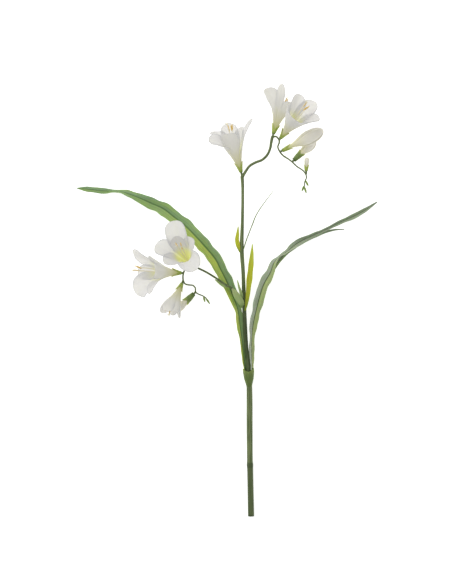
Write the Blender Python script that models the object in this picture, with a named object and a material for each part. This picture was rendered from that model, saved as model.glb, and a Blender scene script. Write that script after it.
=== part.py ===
# Freesia stem: one cut flower stem laid on a table.
#
# A stalk carries two long leaves and a third narrow one, bracts, a side branch, five open
# flowers, one half open and four buds. The stalk lies along Y with its cut end towards -Y,
# X runs across the spread of the leaves, and +Z is up from the table, which is z = 0.
#
# Lengths are real millimetres, and MM turns them into Blender's metres.

from math import cos, pi, radians, sin, sqrt

import bmesh
import bpy
from mathutils import Matrix, Vector

MM = 0.001

# Clearances and walls. Pieces that touch on the real stem are SEAT_GAP apart.
SEAT_GAP = 0.3
LEAF_THICKNESS = 0.8
PETAL_THICKNESS = 0.7
BRACT_THICKNESS = 0.7
FUNNEL_WALL = 0.9

# The stalk: points (x, y, z, radius) along its middle, from the cut end to the top node.
STALK = [
    (24.0, -216.5, 2.75, 2.7),
    (23.0, -168.0, 3.0, 2.6),
    (22.9, -165.0, 3.1, 2.9),
    (22.8, -161.0, 3.2, 2.5),
    (22.5, -130.0, 4.0, 2.6),
    (22.3, -90.0, 5.6, 2.6),
    (21.4, -71.0, 6.4, 2.3),
    (19.0, -45.0, 7.6, 2.1),
    (17.5, -18.0, 8.8, 2.1),
    (16.7, 6.0, 9.9, 2.0),
    (16.0, 28.0, 11.1, 1.9),
    (14.5, 52.0, 12.4, 2.1),
    (15.2, 80.0, 14.0, 1.6),
    (15.5, 110.0, 16.0, 1.5),
    (14.9, 124.5, 17.0, 1.8),
]
# The flower axis that bends right from the top node to the second flower.
UPPER_AXIS = [
    (14.9, 123.0, 17.0, 1.6),
    (18.0, 128.4, 17.0, 1.4),
    (22.4, 134.4, 17.0, 1.3),
    (28.5, 138.0, 17.0, 1.3),
    (34.8, 140.5, 17.0, 1.3),
    (40.2, 145.8, 17.0, 1.3),
    (43.0, 152.5, 17.0, 1.3),
    (44.0, 158.5, 17.0, 1.4),
    (45.2, 163.8, 17.0, 1.6),
]
# The thin zigzag beyond it, which carries the buds.
UPPER_ZIGZAG = [
    (45.0, 163.0, 16.8, 1.1),
    (48.5, 164.0, 16.0, 0.9),
    (51.9, 160.5, 15.0, 0.9),
    (51.8, 157.3, 14.7, 0.8),
    (50.5, 154.0, 14.5, 0.8),
    (52.5, 149.0, 14.5, 0.8),
    (56.0, 144.8, 14.2, 0.8),
    (60.5, 142.0, 13.7, 0.75),
    (64.9, 138.7, 13.0, 0.75),
    (70.0, 134.0, 12.0, 0.7),
    (75.5, 130.5, 11.0, 0.7),
    (78.7, 126.5, 9.8, 0.7),
    (79.4, 123.0, 8.8, 0.65),
    (77.8, 119.5, 8.0, 0.6),
    (77.2, 114.0, 7.0, 0.6),
]
# The side branch, which leaves the stalk to the left and ends in its own zigzag.
SIDE_BRANCH = [
    (16.6, -3.0, 9.4, 1.4),
    (12.5, 4.5, 11.6, 1.2),
    (5.9, 11.5, 13.6, 1.1),
    (-2.7, 17.0, 14.5, 1.0),
    (-11.8, 23.0, 14.0, 1.0),
    (-20.5, 28.3, 13.0, 1.0),
    (-27.1, 31.6, 12.0, 1.0),
    (-33.5, 34.0, 11.0, 1.0),
    (-39.5, 34.0, 10.0, 0.95),
    (-42.7, 30.5, 9.3, 0.9),
    (-44.2, 25.5, 9.0, 0.85),
    (-44.0, 20.2, 9.0, 0.85),
    (-42.2, 16.9, 9.0, 0.8),
    (-38.5, 15.8, 9.0, 0.75),
    (-34.3, 15.3, 9.0, 0.75),
    (-31.9, 12.7, 9.0, 0.75),
    (-31.6, 8.7, 9.0, 0.75),
    (-28.5, 6.5, 8.7, 0.65),
    (-24.1, 4.7, 8.3, 0.6),
    (-21.0, 2.5, 8.0, 0.6),
]
# Tiny closed buds at the tips: foot, tip, largest radius.
TIP_BUDS = [
    ((78.3, 120.6, 8.2), (81.4, 114.7, 7.5), 1.05),
    ((77.2, 115.4, 7.2), (74.7, 109.5, 6.5), 1.05),
    ((77.2, 114.6, 7.0), (79.4, 107.5, 6.5), 1.05),
    ((-23.8, 4.6, 8.3), (-22.2, -1.8, 7.5), 1.0),
    ((-21.6, 3.0, 8.1), (-17.3, -3.5, 7.5), 1.0),
]
STALK_SIDES = 8
STALK_ROW_STEP = 24.0
AXIS_SIDES = 6
AXIS_ROW_STEP = 5.0
BRANCH_ROW_STEP = 6.0
TIP_BUD_SIDES = 5

# The sheath round the feet of the leaves. Its outside and its bore are (share of its length
# from foot to mouth, radius).
SHEATH_FOOT = (22.2, -88.0, 5.7)
SHEATH_MOUTH = (21.4, -71.5, 6.4)
SHEATH_OUTSIDE = [(0.0, 2.3), (0.25, 3.2), (0.6, 4.8), (1.0, 5.6)]
SHEATH_INSIDE = [(1.0, 4.9), (0.52, 4.1)]
SHEATH_SIDES = 12

# Leaves: (x, y, z of the midrib, half width, roll). Roll is in degrees about the midrib:
# 0 shows the leaf's face to the sky and 90 stands it on edge.
LEFT_LEAF = [
    (18.35, -77.4, 6.3, 1.5, 90.0),
    (17.0, -66.0, 6.0, 2.7, 68.0),
    (15.8, -50.0, 5.6, 3.5, 50.0),
    (13.6, -33.0, 5.0, 4.4, 42.0),
    (10.5, -9.5, 4.8, 4.8, 36.0),
    (5.0, 6.5, 5.6, 5.4, 18.0),
    (-0.5, 19.5, 6.6, 6.0, 2.0),
    (-6.5, 31.5, 7.6, 6.4, -10.0),
    (-11.5, 41.5, 8.2, 6.6, -14.0),
    (-20.5, 52.5, 8.6, 6.6, -8.0),
    (-31.5, 64.5, 8.6, 6.6, 0.0),
    (-42.5, 75.5, 8.4, 6.6, 6.0),
    (-54.5, 85.0, 7.8, 6.4, 0.0),
    (-63.5, 92.0, 7.0, 6.6, -8.0),
    (-77.5, 98.5, 5.6, 5.8, -14.0),
    (-90.5, 104.0, 4.2, 4.4, 4.0),
    (-105.5, 109.0, 2.8, 2.8, 52.0),
    (-112.5, 109.6, 2.0, 2.3, 50.0),
    (-124.5, 110.4, -0.8, 2.8, 0.0),
    (-139.5, 112.0, -0.8, 2.7, 0.0),
    (-151.0, 113.1, -0.8, 0.5, 0.0),
]
RIGHT_LEAF = [
    (24.75, -76.9, 6.2, 1.1, 90.0),
    (24.5, -66.0, 7.1, 2.7, 70.0),
    (24.0, -44.5, 8.0, 3.9, 52.0),
    (25.5, -25.5, 8.8, 4.2, 34.0),
    (28.5, -11.5, 9.2, 4.6, 20.0),
    (32.1, 2.5, 9.4, 5.0, 8.0),
    (36.5, 16.0, 9.2, 5.0, -4.0),
    (43.5, 28.5, 8.8, 4.7, -18.0),
    (47.2, 38.0, 8.2, 3.9, -40.0),
    (53.0, 44.0, 7.4, 3.0, -80.0),
    (59.5, 48.5, 6.8, 3.1, -60.0),
    (70.5, 57.5, 5.6, 3.7, -14.0),
    (82.5, 64.0, 4.6, 2.8, 20.0),
    (97.5, 71.0, 3.6, 2.0, 40.0),
    (112.5, 78.5, 2.4, 2.2, 20.0),
    (126.5, 84.5, 1.3, 2.5, 6.0),
    (138.5, 91.0, -0.4, 2.2, 0.0),
    (150.8, 99.3, -0.4, 0.45, 0.0),
]
# The narrow leaf lies under the right one from the sheath on, and parts from it near the end.
NARROW_LEAF = [
    (21.7, -77.0, 2.9, 1.5, 0.0),
    (22.2, -66.0, 2.6, 1.7, 0.0),
    (24.0, -45.0, 3.0, 1.8, 0.0),
    (26.5, -25.0, 3.4, 1.9, 0.0),
    (30.6, -6.0, 3.6, 2.0, 0.0),
    (35.5, 12.0, 3.6, 2.1, 0.0),
    (44.0, 28.5, 3.2, 2.1, 0.0),
    (54.5, 43.0, 2.8, 2.0, 0.0),
    (69.0, 55.0, 2.2, 1.9, 0.0),
    (84.0, 63.0, 1.4, 1.7, 0.0),
    (97.0, 68.3, 0.2, 1.3, 0.0),
    (108.0, 71.2, 0.2, 0.9, 0.0),
    (117.8, 71.7, 0.2, 0.4, 0.0),
]
LEAF_COLUMNS = 4
LEAF_ROW_STEP = 9.0
LEAF_FOLD = 0.28
LEAF_WAVE = 0.55
LEAF_WAVE_LENGTH = 31.0
NARROW_LEAF_COLUMNS = 2
NARROW_LEAF_FOLD = 0.1
# A blade is never narrower than this at its tip, and waves fully from this half width up.
BLADE_TIP_HALF_WIDTH = 0.3
FULL_WAVE_HALF_WIDTH = 3.0

# Bracts on the stalk, laid out as the leaves are.
YELLOW_BRACT = [
    (19.2, -11.0, 11.1, 1.1, 48.0),
    (20.0, 3.0, 12.0, 2.2, 34.0),
    (21.6, 18.0, 13.0, 2.8, 20.0),
    (23.4, 33.0, 13.9, 2.8, 10.0),
    (24.6, 46.0, 14.6, 1.7, 4.0),
    (25.2, 56.8, 15.0, 0.35, 0.0),
]
SPATHE = [
    (16.4, -7.6, 9.8, 1.2, 16.0),
    (13.8, -1.6, 12.7, 2.8, 10.0),
    (10.4, 3.8, 14.8, 3.3, 4.0),
    (7.6, 8.4, 15.6, 2.6, 0.0),
    (5.2, 12.2, 15.9, 0.6, 0.0),
]
POINTED_BRACT = [
    (15.6, 1.0, 10.4, 0.9, 8.0),
    (14.0, 7.0, 13.4, 1.3, 0.0),
    (11.8, 14.0, 15.0, 1.1, 0.0),
    (10.2, 20.5, 15.6, 0.35, 0.0),
]
BRANCH_BRACT = [
    (1.7, 14.2, 14.0, 0.8, 0.0),
    (-3.0, 15.0, 13.6, 1.5, 0.0),
    (-8.0, 18.2, 13.0, 1.3, 0.0),
    (-12.2, 21.2, 12.2, 0.4, 0.0),
]
UPPER_BRACT = [
    (11.6, 50.4, 12.6, 0.9, -40.0),
    (10.5, 55.6, 13.0, 2.0, -30.0),
    (10.0, 61.0, 13.6, 2.2, -26.0),
    (10.6, 67.4, 14.2, 1.6, -22.0),
    (10.9, 74.4, 14.6, 0.35, -16.0),
]
THREAD_BRACT = [
    (15.4, 49.4, 12.6, 1.0, 74.0),
    (18.8, 60.5, 13.4, 1.3, 76.0),
    (24.3, 74.8, 13.8, 1.4, 76.0),
    (28.1, 84.4, 13.8, 1.3, 76.0),
    (32.9, 92.5, 13.4, 1.1, 76.0),
    (38.6, 100.2, 13.0, 0.8, 76.0),
    (46.3, 110.2, 12.4, 0.4, 76.0),
]
BRACT_COLUMNS = 2
BRACT_ROW_STEP = 7.0

# The funnel of a flower along its own axis, from its foot: (height, radius). The inside
# runs back down from the mouth to the floor.
FUNNEL_OUTSIDE = [
    (1.1, 1.1),
    (6.0, 2.1),
    (12.0, 3.8),
    (18.0, 5.8),
    (24.0, 8.5),
]
FUNNEL_INSIDE = [
    (24.0, 7.6),
    (16.0, 4.2),
    (8.0, 1.7),
]
FUNNEL_SIDES = 10

# Petals leave the funnel at their root, lean out after ROOT_SHARE of their length, and are
# widest at WIDEST. The outer ones are shifted out and the inner ones in.
TEPAL_ROOT_HEIGHT = 21.0
TEPAL_ROOT_SLOPE = 24.0
TEPAL_ROOT_SHARE = 0.2
TEPAL_SHIFT = 0.25
TEPAL_COLUMNS = 4
TEPAL_ROWS = 6
TEPAL_STEPS_A_ROW = 4
TEPAL_TIP_CUT = 0.94
TEPAL_WIDEST = 0.6
TEPAL_ROOT_WIDTH = 0.55
TEPAL_ROLLED = 0.6
TEPAL_RUFFLE = 0.9
TEPAL_RUFFLE_TURNS = 1.4
# Petals this many degrees apart round the axis ruffle alike.
TEPAL_RUFFLE_REPEAT = 97.0

# The pair of bracts that hold a flower or bud. They are joined up to a share of their length
# called cover, and end in two points.
CALYX_SIDES = 8
CALYX_ROWS = 3
CALYX_POINT_POWER = 1.5
CALYX_BULGE = 0.25
FLOWER_COVER = 0.45
CALYX_FLOOR = 0.8

# A closed bud: three petals wrapped round each other. It swells above its bracts, from a
# share of their length, and closes over the last part of its own length.
BUD_SIDES = 12
BUD_ROWS = 7
BUD_LOBES = 0.11
BUD_LOBES_FULL = 0.4
BUD_TWIST = 2.2
BUD_FOOT_SHARE = 0.62
BUD_SWELL_START = 0.6
BUD_SWELL_END = 0.62
BUD_SWELL_POWER = 1.9
BUD_CLOSING_START = 0.72
BUD_CLOSING_CUT = 0.97
BUD_TIP_RISE = 0.4

# Stamens and style inside a flower, in millimetres along and away from its axis. They part
# at SPLIT, and REACH is how far the anthers stand from the foot of the flower.
COLUMN_RADIUS = 0.95
FILAMENT_RADIUS = 0.42
ANTHER_RADIUS = 0.85
ANTHER_LENGTH = 6.5
ANTHER_FIRST_TURN = 40.0
ANTHER_TURN = 70.0
ANTHER_SPREAD = 3.6
ANTHER_LEAN = 1.0
STAMEN_SPLIT = 13.0
STAMEN_REACH = 37.0
STAMEN_ROOT_DEPTH = 2.0
STAMEN_SIDES = 4
STYLE_TOP_OFFSET = (-0.6, -0.6, 3.0)
STIGMA_TURN = 140.0
STIGMA_SPREAD = 2.2
STIGMA_RISE = 3.0
STIGMA_ROOT_DEPTH = 0.8

# A small closed bud or anther: (share of its length, share of its radius).
SPINDLE_PROFILE = [(0.0, 0.6), (0.5, 1.0), (1.0, 0.3)]

PEDICEL_RADIUS = 1.1

PETAL_ROUGHNESS = 0.6
GREEN_ROUGHNESS = 0.5
STALK_ROUGHNESS = 0.55
WHITE = (0.90, 0.90, 0.87, 1.0)
CREAM = (0.86, 0.84, 0.70, 1.0)
STALK_GREEN = (0.17, 0.24, 0.10, 1.0)
LEAF_GREEN = (0.22, 0.36, 0.15, 1.0)
BRACT_GREEN = (0.45, 0.52, 0.14, 1.0)
YELLOW_GREEN = (0.60, 0.58, 0.08, 1.0)
ANTHER_YELLOW = (0.80, 0.56, 0.12, 1.0)


class Tepal:
    """One petal: its turn round the axis, its length and half width, lean and cupping radius.

    Turn 0 is on the flower's side towards the sky. Lean is how far the tip points away from
    the axis, and roll is how far its face turns about its own length, both in degrees.
    """

    def __init__(self, turn, length, half_width, lean, cup, ruffle=1.0, roll=0.0):
        self.turn = turn
        self.length = length
        self.half_width = half_width
        self.lean = lean
        self.cup = cup
        self.ruffle = ruffle
        self.roll = roll


class Flower:
    """An open flower: its node on the stalk, the way it points, its petals and its bracts."""

    def __init__(self, name, node, aim, outer, inner, size=1.0, bract=11.0, stamen=1.0, pedicel=2.2):
        self.name = name
        self.node = Vector(node)
        self.aim = Vector(aim).normalized()
        self.outer = outer
        self.inner = inner
        self.size = size
        self.bract = bract
        self.stamen = stamen
        self.pedicel = pedicel
        self.cover = FLOWER_COVER


class Bud:
    """A closed bud: its node, the way it points, its length and radius, and its bracts."""

    def __init__(self, name, node, aim, length, radius, bract, calyx_radius, cover, pedicel=2.0):
        self.name = name
        self.node = Vector(node)
        self.aim = Vector(aim).normalized()
        self.length = length
        self.radius = radius
        self.bract = bract
        self.calyx_radius = calyx_radius
        self.cover = cover
        self.pedicel = pedicel


FLOWERS = [
    Flower(
        "top_left",
        (14.9, 124.5, 17.0),
        (-0.27, 0.95, 0.14),
        outer=[
            Tepal(346.0, 24.0, 10.8, 28.0, 11.0, 0.3),
            Tepal(232.0, 30.0, 10.0, 40.0, 12.0),
            Tepal(124.0, 24.0, 8.6, 18.0, 11.0),
        ],
        inner=[
            Tepal(292.0, 27.0, 9.0, 76.0, 13.0, roll=-50.0),
            Tepal(180.0, 31.0, 10.0, 27.0, 13.0),
            Tepal(84.0, 34.0, 4.6, 50.0, 9.0, 0.4, roll=28.0),
        ],
        stamen=1.24,
        pedicel=3.2,
    ),
    Flower(
        "top_back",
        (45.2, 163.8, 17.0),
        (0.28, 0.94, -0.18),
        outer=[
            Tepal(300.0, 26.0, 8.4, 66.0, 13.0, roll=30.0),
            Tepal(40.0, 14.0, 7.0, 12.0, 9.0, 0.4),
            Tepal(160.0, 22.0, 8.6, 34.0, 12.0),
        ],
        inner=[
            Tepal(340.0, 29.0, 4.8, 16.0, 9.0, 0.6),
            Tepal(100.0, 16.0, 7.0, 12.0, 9.0, 0.4),
            Tepal(224.0, 24.0, 8.4, 44.0, 12.0),
        ],
        stamen=1.0,
    ),
    Flower(
        "top_right",
        (51.9, 160.5, 15.0),
        (0.48, 0.64, 0.60),
        outer=[
            Tepal(346.0, 18.0, 9.8, 26.0, 10.0, 0.6),
            Tepal(98.0, 26.0, 10.0, 46.0, 12.0),
            Tepal(214.0, 27.0, 9.6, 30.0, 11.0),
        ],
        inner=[
            Tepal(290.0, 18.0, 8.6, 22.0, 10.0, 0.6),
            Tepal(44.0, 18.0, 8.6, 30.0, 10.0),
            Tepal(160.0, 29.0, 9.8, 38.0, 12.0),
        ],
        stamen=1.26,
    ),
    Flower(
        "side_upper",
        (-36.5, 34.0, 10.5),
        (-0.25, 0.40, 0.88),
        outer=[
            Tepal(162.0, 35.0, 11.8, 74.0, 18.0),
            Tepal(228.0, 29.0, 10.0, 82.0, 20.0),
            Tepal(6.0, 37.0, 12.6, 86.0, 19.0),
        ],
        inner=[
            Tepal(98.0, 20.0, 9.0, 46.0, 12.0),
            Tepal(284.0, 23.0, 9.8, 60.0, 13.0),
            Tepal(172.0, 20.0, 8.4, 30.0, 10.0),
        ],
        stamen=1.18,
    ),
    Flower(
        "side_lower",
        (-43.6, 27.6, 9.1),
        (-0.86, 0.05, 0.50),
        outer=[
            Tepal(132.0, 34.0, 5.8, 58.0, 14.0),
            Tepal(246.0, 31.0, 13.4, 74.0, 19.0, roll=-20.0),
            Tepal(2.0, 18.0, 9.4, 24.0, 11.0),
        ],
        inner=[
            Tepal(188.0, 22.0, 9.0, 40.0, 12.0),
            Tepal(296.0, 29.0, 3.8, 74.0, 10.0, roll=-50.0),
            Tepal(72.0, 20.0, 8.8, 30.0, 12.0),
        ],
        stamen=1.34,
    ),
]

HALF_OPEN = Flower(
    "side_half_open",
    (-44.0, 20.2, 9.0),
    (-0.39, -0.90, 0.21),
    outer=[
        Tepal(20.0, 20.0, 7.0, 16.0, 7.6, 0.6),
        Tepal(140.0, 20.0, 7.0, 10.0, 7.6, 0.6),
        Tepal(262.0, 19.0, 7.0, 18.0, 7.6, 0.6),
    ],
    inner=[
        Tepal(80.0, 17.0, 6.4, 6.0, 7.0, 0.6),
        Tepal(200.0, 17.0, 6.4, 6.0, 7.0, 0.6),
        Tepal(322.0, 16.0, 6.4, 6.0, 7.0, 0.6),
    ],
    size=0.88,
    bract=9.0,
    stamen=0.82,
)

BUDS = [
    Bud("top_bud_long", (52.6, 148.6, 14.5), (0.88, 0.44, 0.16), 46.0, 6.9, 11.0, 2.5, 0.5),
    Bud("top_bud_green", (64.9, 138.7, 13.0), (0.70, 0.68, -0.22), 31.0, 5.2, 12.5, 3.1, 0.75),
    Bud("top_bud_small", (78.9, 126.5, 9.8), (0.05, 0.99, 0.12), 14.0, 2.5, 7.0, 2.2, 0.6, 2.6),
    Bud("side_bud_green", (-31.6, 8.7, 9.0), (-0.68, -0.66, -0.20), 27.0, 4.2, 13.0, 3.2, 0.75),
]


def smooth_step(t):
    t = min(max(t, 0.0), 1.0)
    return t * t * (3.0 - 2.0 * t)


def table_value(table, x):
    """The value at x of a list of (x, value), on straight lines between its points."""
    for (x0, v0), (x1, v1) in zip(table, table[1:]):
        if x <= x1:
            return v0 + (v1 - v0) * (x - x0) / (x1 - x0)
    return table[-1][1]


def through(points, step):
    """Points of a smooth Catmull-Rom curve through rows of numbers, about step apart."""
    rows = [points[0], *points, points[-1]]
    made = []
    for a, b, c, d in zip(rows, rows[1:], rows[2:], rows[3:]):
        span = (Vector(c[:3]) - Vector(b[:3])).length
        pieces = max(1, round(span / step))
        for i in range(pieces):
            t = i / pieces
            made.append(
                [
                    0.5
                    * (
                        2.0 * q
                        + (r - p) * t
                        + (2.0 * p - 5.0 * q + 4.0 * r - s) * t**2
                        + (3.0 * q - p - 3.0 * r + s) * t**3
                    )
                    for p, q, r, s in zip(a, b, c, d)
                ]
            )
    made.append(list(points[-1]))
    return made


def tangents(points):
    """The unit direction of a line of points at each of them."""
    ends = [points[0], *points, points[-1]]
    return [(b - a).normalized() for a, b in zip(ends, ends[2:])]


def axes_along(aim):
    """A turn that takes +Z to the aim, with +X towards the sky as nearly as it can be."""
    up = Vector((0.0, 0.0, 1.0))
    sky = (up - aim * up.dot(aim)).normalized()
    across = aim.cross(sky)
    return Matrix((sky, across, aim)).transposed()


def material(name, colour, roughness):
    found = bpy.data.materials.get(name)
    if found:
        return found
    made = bpy.data.materials.new(name)
    made.use_nodes = True
    shader = made.node_tree.nodes["Principled BSDF"]
    shader.inputs["Base Color"].default_value = colour
    shader.inputs["Roughness"].default_value = roughness
    shader.inputs["Metallic"].default_value = 0.0
    made.diffuse_color = colour
    return made


def add_object(name, mesh):
    made = bpy.data.objects.new(name, mesh)
    bpy.context.scene.collection.objects.link(made)
    return made


def closed_mesh(name, bm):
    """A mesh from bm, welded, facing out, in metres and shaded smooth."""
    bmesh.ops.remove_doubles(bm, verts=bm.verts, dist=1e-4)
    bmesh.ops.recalc_face_normals(bm, faces=bm.faces)
    bmesh.ops.scale(bm, vec=(MM, MM, MM), verts=bm.verts)
    mesh = bpy.data.meshes.new(name)
    bm.to_mesh(mesh)
    bm.free()
    mesh.shade_smooth()
    return mesh


def tube(name, rows, sides, step):
    """A round stem through rows of (x, y, z, radius), from a bevelled curve."""
    curve = bpy.data.curves.new(name, "CURVE")
    curve.dimensions = "3D"
    curve.bevel_depth = 1.0
    curve.bevel_resolution = sides // 2 - 2
    curve.use_fill_caps = True
    line = curve.splines.new("POLY")
    points = through(rows, step)
    line.points.add(len(points) - 1)
    for point, (x, y, z, radius) in zip(line.points, points):
        point.co = (x, y, z, 1.0)
        point.radius = radius
    guide = bpy.data.objects.new(name, curve)
    bm = bmesh.new()
    bm.from_mesh(guide.to_mesh())
    guide.to_mesh_clear()
    bpy.data.objects.remove(guide)
    bpy.data.curves.remove(curve)
    return add_object(name, closed_mesh(name, bm))


def lathe(name, profile, sides, place=None):
    """A solid turned about Z from (radius, height) points that start and end on the axis."""
    bm = bmesh.new()
    corners = [bm.verts.new((radius, 0.0, height)) for radius, height in profile]
    edges = [bm.edges.new(pair) for pair in zip(corners, corners[1:])]
    bmesh.ops.spin(
        bm,
        geom=corners + edges,
        cent=(0.0, 0.0, 0.0),
        axis=(0.0, 0.0, 1.0),
        angle=2.0 * pi,
        steps=sides,
        use_merge=True,
    )
    if place:
        bmesh.ops.transform(bm, matrix=place, verts=bm.verts)
    return add_object(name, closed_mesh(name, bm))


def sheet(name, grid, thickness, wrap=False):
    """A thin closed solid from a grid of points. A wrapped grid is a cup with a floor."""
    bm = bmesh.new()
    rows = [[bm.verts.new(point) for point in row] for row in grid]
    for lower, upper in zip(rows, rows[1:]):
        pairs = list(zip(lower, lower[1:], upper, upper[1:]))
        if wrap:
            pairs.append((lower[-1], lower[0], upper[-1], upper[0]))
        for a, b, c, d in pairs:
            bm.faces.new((a, b, d))
            bm.faces.new((a, d, c))
    if wrap:
        bm.faces.new(reversed(rows[0]))
    bmesh.ops.triangulate(bm, faces=[face for face in bm.faces if len(face.verts) > 3])
    bmesh.ops.scale(bm, vec=(MM, MM, MM), verts=bm.verts)
    mesh = bpy.data.meshes.new(name)
    bm.to_mesh(mesh)
    bm.free()
    mesh.shade_smooth()
    made = add_object(name, mesh)
    wall = made.modifiers.new("wall", "SOLIDIFY")
    wall.thickness = thickness * MM
    wall.offset = 0.0
    return made


def settled(obj):
    """The object with its modifiers applied."""
    graph = bpy.context.evaluated_depsgraph_get()
    mesh = bpy.data.meshes.new_from_object(obj.evaluated_get(graph))
    obj.modifiers.clear()
    obj.data = mesh
    return obj


def fuse(body, pieces):
    """The pieces joined to the body as one solid, and then removed."""
    group = bpy.data.collections.new(body.name + "_pieces")
    bpy.context.scene.collection.children.link(group)
    for piece in pieces:
        bpy.context.scene.collection.objects.unlink(piece)
        group.objects.link(piece)
    union = body.modifiers.new("union", "BOOLEAN")
    union.operation = "UNION"
    union.operand_type = "COLLECTION"
    union.collection = group
    union.solver = "MANIFOLD"
    settled(body)
    for piece in pieces:
        bpy.data.objects.remove(piece)
    bpy.data.collections.remove(group)
    return body


def finish(obj, name, skin):
    obj.name = name
    obj.data.name = name
    obj.data.materials.clear()
    obj.data.materials.append(skin)
    obj.data.shade_smooth()
    return obj


def on_table(point, thickness):
    """A point of a thin sheet's middle, kept from sinking into the table."""
    point.z = max(point.z, thickness / 2.0)
    return point


def blade(name, rows, columns, step, thickness, skin, fold=LEAF_FOLD, wave=0.0):
    """A leaf or bract: a folded, waved strip through rows of (x, y, z, half width, roll)."""
    lines = through(rows, step)
    middle = [Vector(line[:3]) for line in lines]
    grid = []
    travelled = 0.0
    for i, (centre, ahead, line) in enumerate(zip(middle, tangents(middle), lines)):
        half_width, roll = max(line[3], BLADE_TIP_HALF_WIDTH), radians(line[4])
        if i:
            travelled += (centre - middle[i - 1]).length
        level = Vector((0.0, 0.0, 1.0)).cross(ahead).normalized()
        above = ahead.cross(level)
        side = level * cos(roll) + above * sin(roll)
        face = above * cos(roll) - level * sin(roll)
        share = min(1.0, half_width / FULL_WAVE_HALF_WIDTH)
        row = []
        for k in range(columns + 1):
            u = 2.0 * k / columns - 1.0
            ripple = wave * u * abs(u) * sin(2.0 * pi * travelled / LEAF_WAVE_LENGTH)
            rise = fold * abs(u) * half_width + ripple * share
            row.append(on_table(centre + side * u * half_width + face * rise, thickness))
        grid.append(row)
    return finish(settled(sheet(name, grid, thickness)), name, skin)


def tepal_grid(tepal, shift, size, rows, columns):
    """Points of a petal in its flower's own frame, +Z along the flower's axis."""
    root = table_value(FUNNEL_OUTSIDE, TEPAL_ROOT_HEIGHT)
    radius = root - FUNNEL_WALL / 2.0
    height = TEPAL_ROOT_HEIGHT
    turn = Matrix.Rotation(radians(tepal.turn), 3, "Z")
    steps = rows * TEPAL_STEPS_A_ROW
    step = tepal.length / steps
    grid = []
    for i in range(steps + 1):
        t = i / steps
        bend = smooth_step((t - TEPAL_ROOT_SHARE) / (1.0 - TEPAL_ROOT_SHARE))
        slope = radians(TEPAL_ROOT_SLOPE + (tepal.lean - TEPAL_ROOT_SLOPE) * bend)
        if i:
            radius += step * sin(slope)
            height += step * cos(slope)
        if i % TEPAL_STEPS_A_ROW:
            continue
        grow = TEPAL_ROOT_WIDTH + (1.0 - TEPAL_ROOT_WIDTH) * sin(pi / 2.0 * min(1.0, t / TEPAL_WIDEST))
        past = max(0.0, t - TEPAL_WIDEST) / (1.0 - TEPAL_WIDEST)
        half_width = tepal.half_width * grow * sqrt(1.0 - TEPAL_TIP_CUT * past**2)
        cup = root * (1.0 - t) + tepal.cup * t
        roll = radians(tepal.roll) * smooth_step(t / TEPAL_ROLLED)
        level, up = Vector((0.0, 1.0, 0.0)), Vector((-cos(slope), 0.0, sin(slope)))
        side = level * cos(roll) + up * sin(roll)
        inward = up * cos(roll) - level * sin(roll)
        ripple = sin(2.0 * pi * (TEPAL_RUFFLE_TURNS * t + tepal.turn / TEPAL_RUFFLE_REPEAT))
        row = []
        for k in range(columns + 1):
            u = 2.0 * k / columns - 1.0
            angle = u * half_width / cup
            ruffle = tepal.ruffle * TEPAL_RUFFLE * ripple * u**2 * t
            lift = cup * (1.0 - cos(angle)) + ruffle - shift
            point = Vector((radius, 0.0, height)) + side * cup * sin(angle) + inward * lift
            row.append(turn @ point * size)
        grid.append(row)
    return grid


def funnel_profile(size):
    """The funnel's (radius, height) outline, from the axis at its foot to that at its floor."""
    foot, floor = FUNNEL_OUTSIDE[0][0], FUNNEL_INSIDE[-1][0]
    outline = [(foot, 0.0), *FUNNEL_OUTSIDE, *FUNNEL_INSIDE, (floor, 0.0)]
    return [(radius * size, height * size) for height, radius in outline]


def placed(seat, aim):
    return Matrix.Translation(seat) @ axes_along(aim).to_4x4()


def calyx(name, place, radius_at, length, cover, skin):
    """The cup of two pointed bracts that holds a flower, clear of what it holds by SEAT_GAP."""
    middle = SEAT_GAP + BRACT_THICKNESS / 2.0
    grid = []
    for i in range(CALYX_ROWS + 1):
        row = []
        for k in range(CALYX_SIDES):
            angle = 2.0 * pi * k / CALYX_SIDES
            point = abs(sin(angle)) ** CALYX_POINT_POWER
            rim = length * (cover + (1.0 - cover) * point)
            height = CALYX_FLOOR / 2.0 + (rim - CALYX_FLOOR / 2.0) * i / CALYX_ROWS
            bulge = CALYX_BULGE * point * smooth_step(height / length)
            radius = radius_at(height) + middle + bulge
            row.append(place @ Vector((radius * cos(angle), radius * sin(angle), height)))
        grid.append(row)
    return finish(settled(sheet(name, grid, BRACT_THICKNESS, wrap=True)), name, skin)


def rod(name, start, end, radius, place):
    """A thin straight filament between two points of a flower's frame."""
    a, b = place @ Vector(start), place @ Vector(end)
    return tube(name, [(*a, radius), (*b, radius)], STAMEN_SIDES, (b - a).length)


def spindle(name, foot, tip, radius, sides):
    """A small closed bud or anther, thickest near its middle."""
    foot, tip = Vector(foot), Vector(tip)
    aim = tip - foot
    length = aim.length
    girth = [(radius * share, length * height) for height, share in SPINDLE_PROFILE]
    profile = [(0.0, 0.0), *girth, (0.0, length)]
    return lathe(name, profile, sides, placed(foot, aim.normalized()))


def anther(angle, split, reach, place):
    """One filament and its anther, as two pieces that cross."""
    out = Vector((cos(angle), sin(angle), 0.0))
    low = Vector((0.0, 0.0, split - STAMEN_ROOT_DEPTH)) + out * 0.3
    high = Vector((0.0, 0.0, reach - ANTHER_LENGTH / 2.0)) + out * ANTHER_SPREAD
    tip = high + Vector((0.0, 0.0, ANTHER_LENGTH)) + out * ANTHER_LEAN
    return [
        rod("filament", low, high + out * 0.2, FILAMENT_RADIUS, place),
        spindle("anther", place @ (high - out * 0.3), place @ tip, ANTHER_RADIUS, STAMEN_SIDES),
    ]


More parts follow.
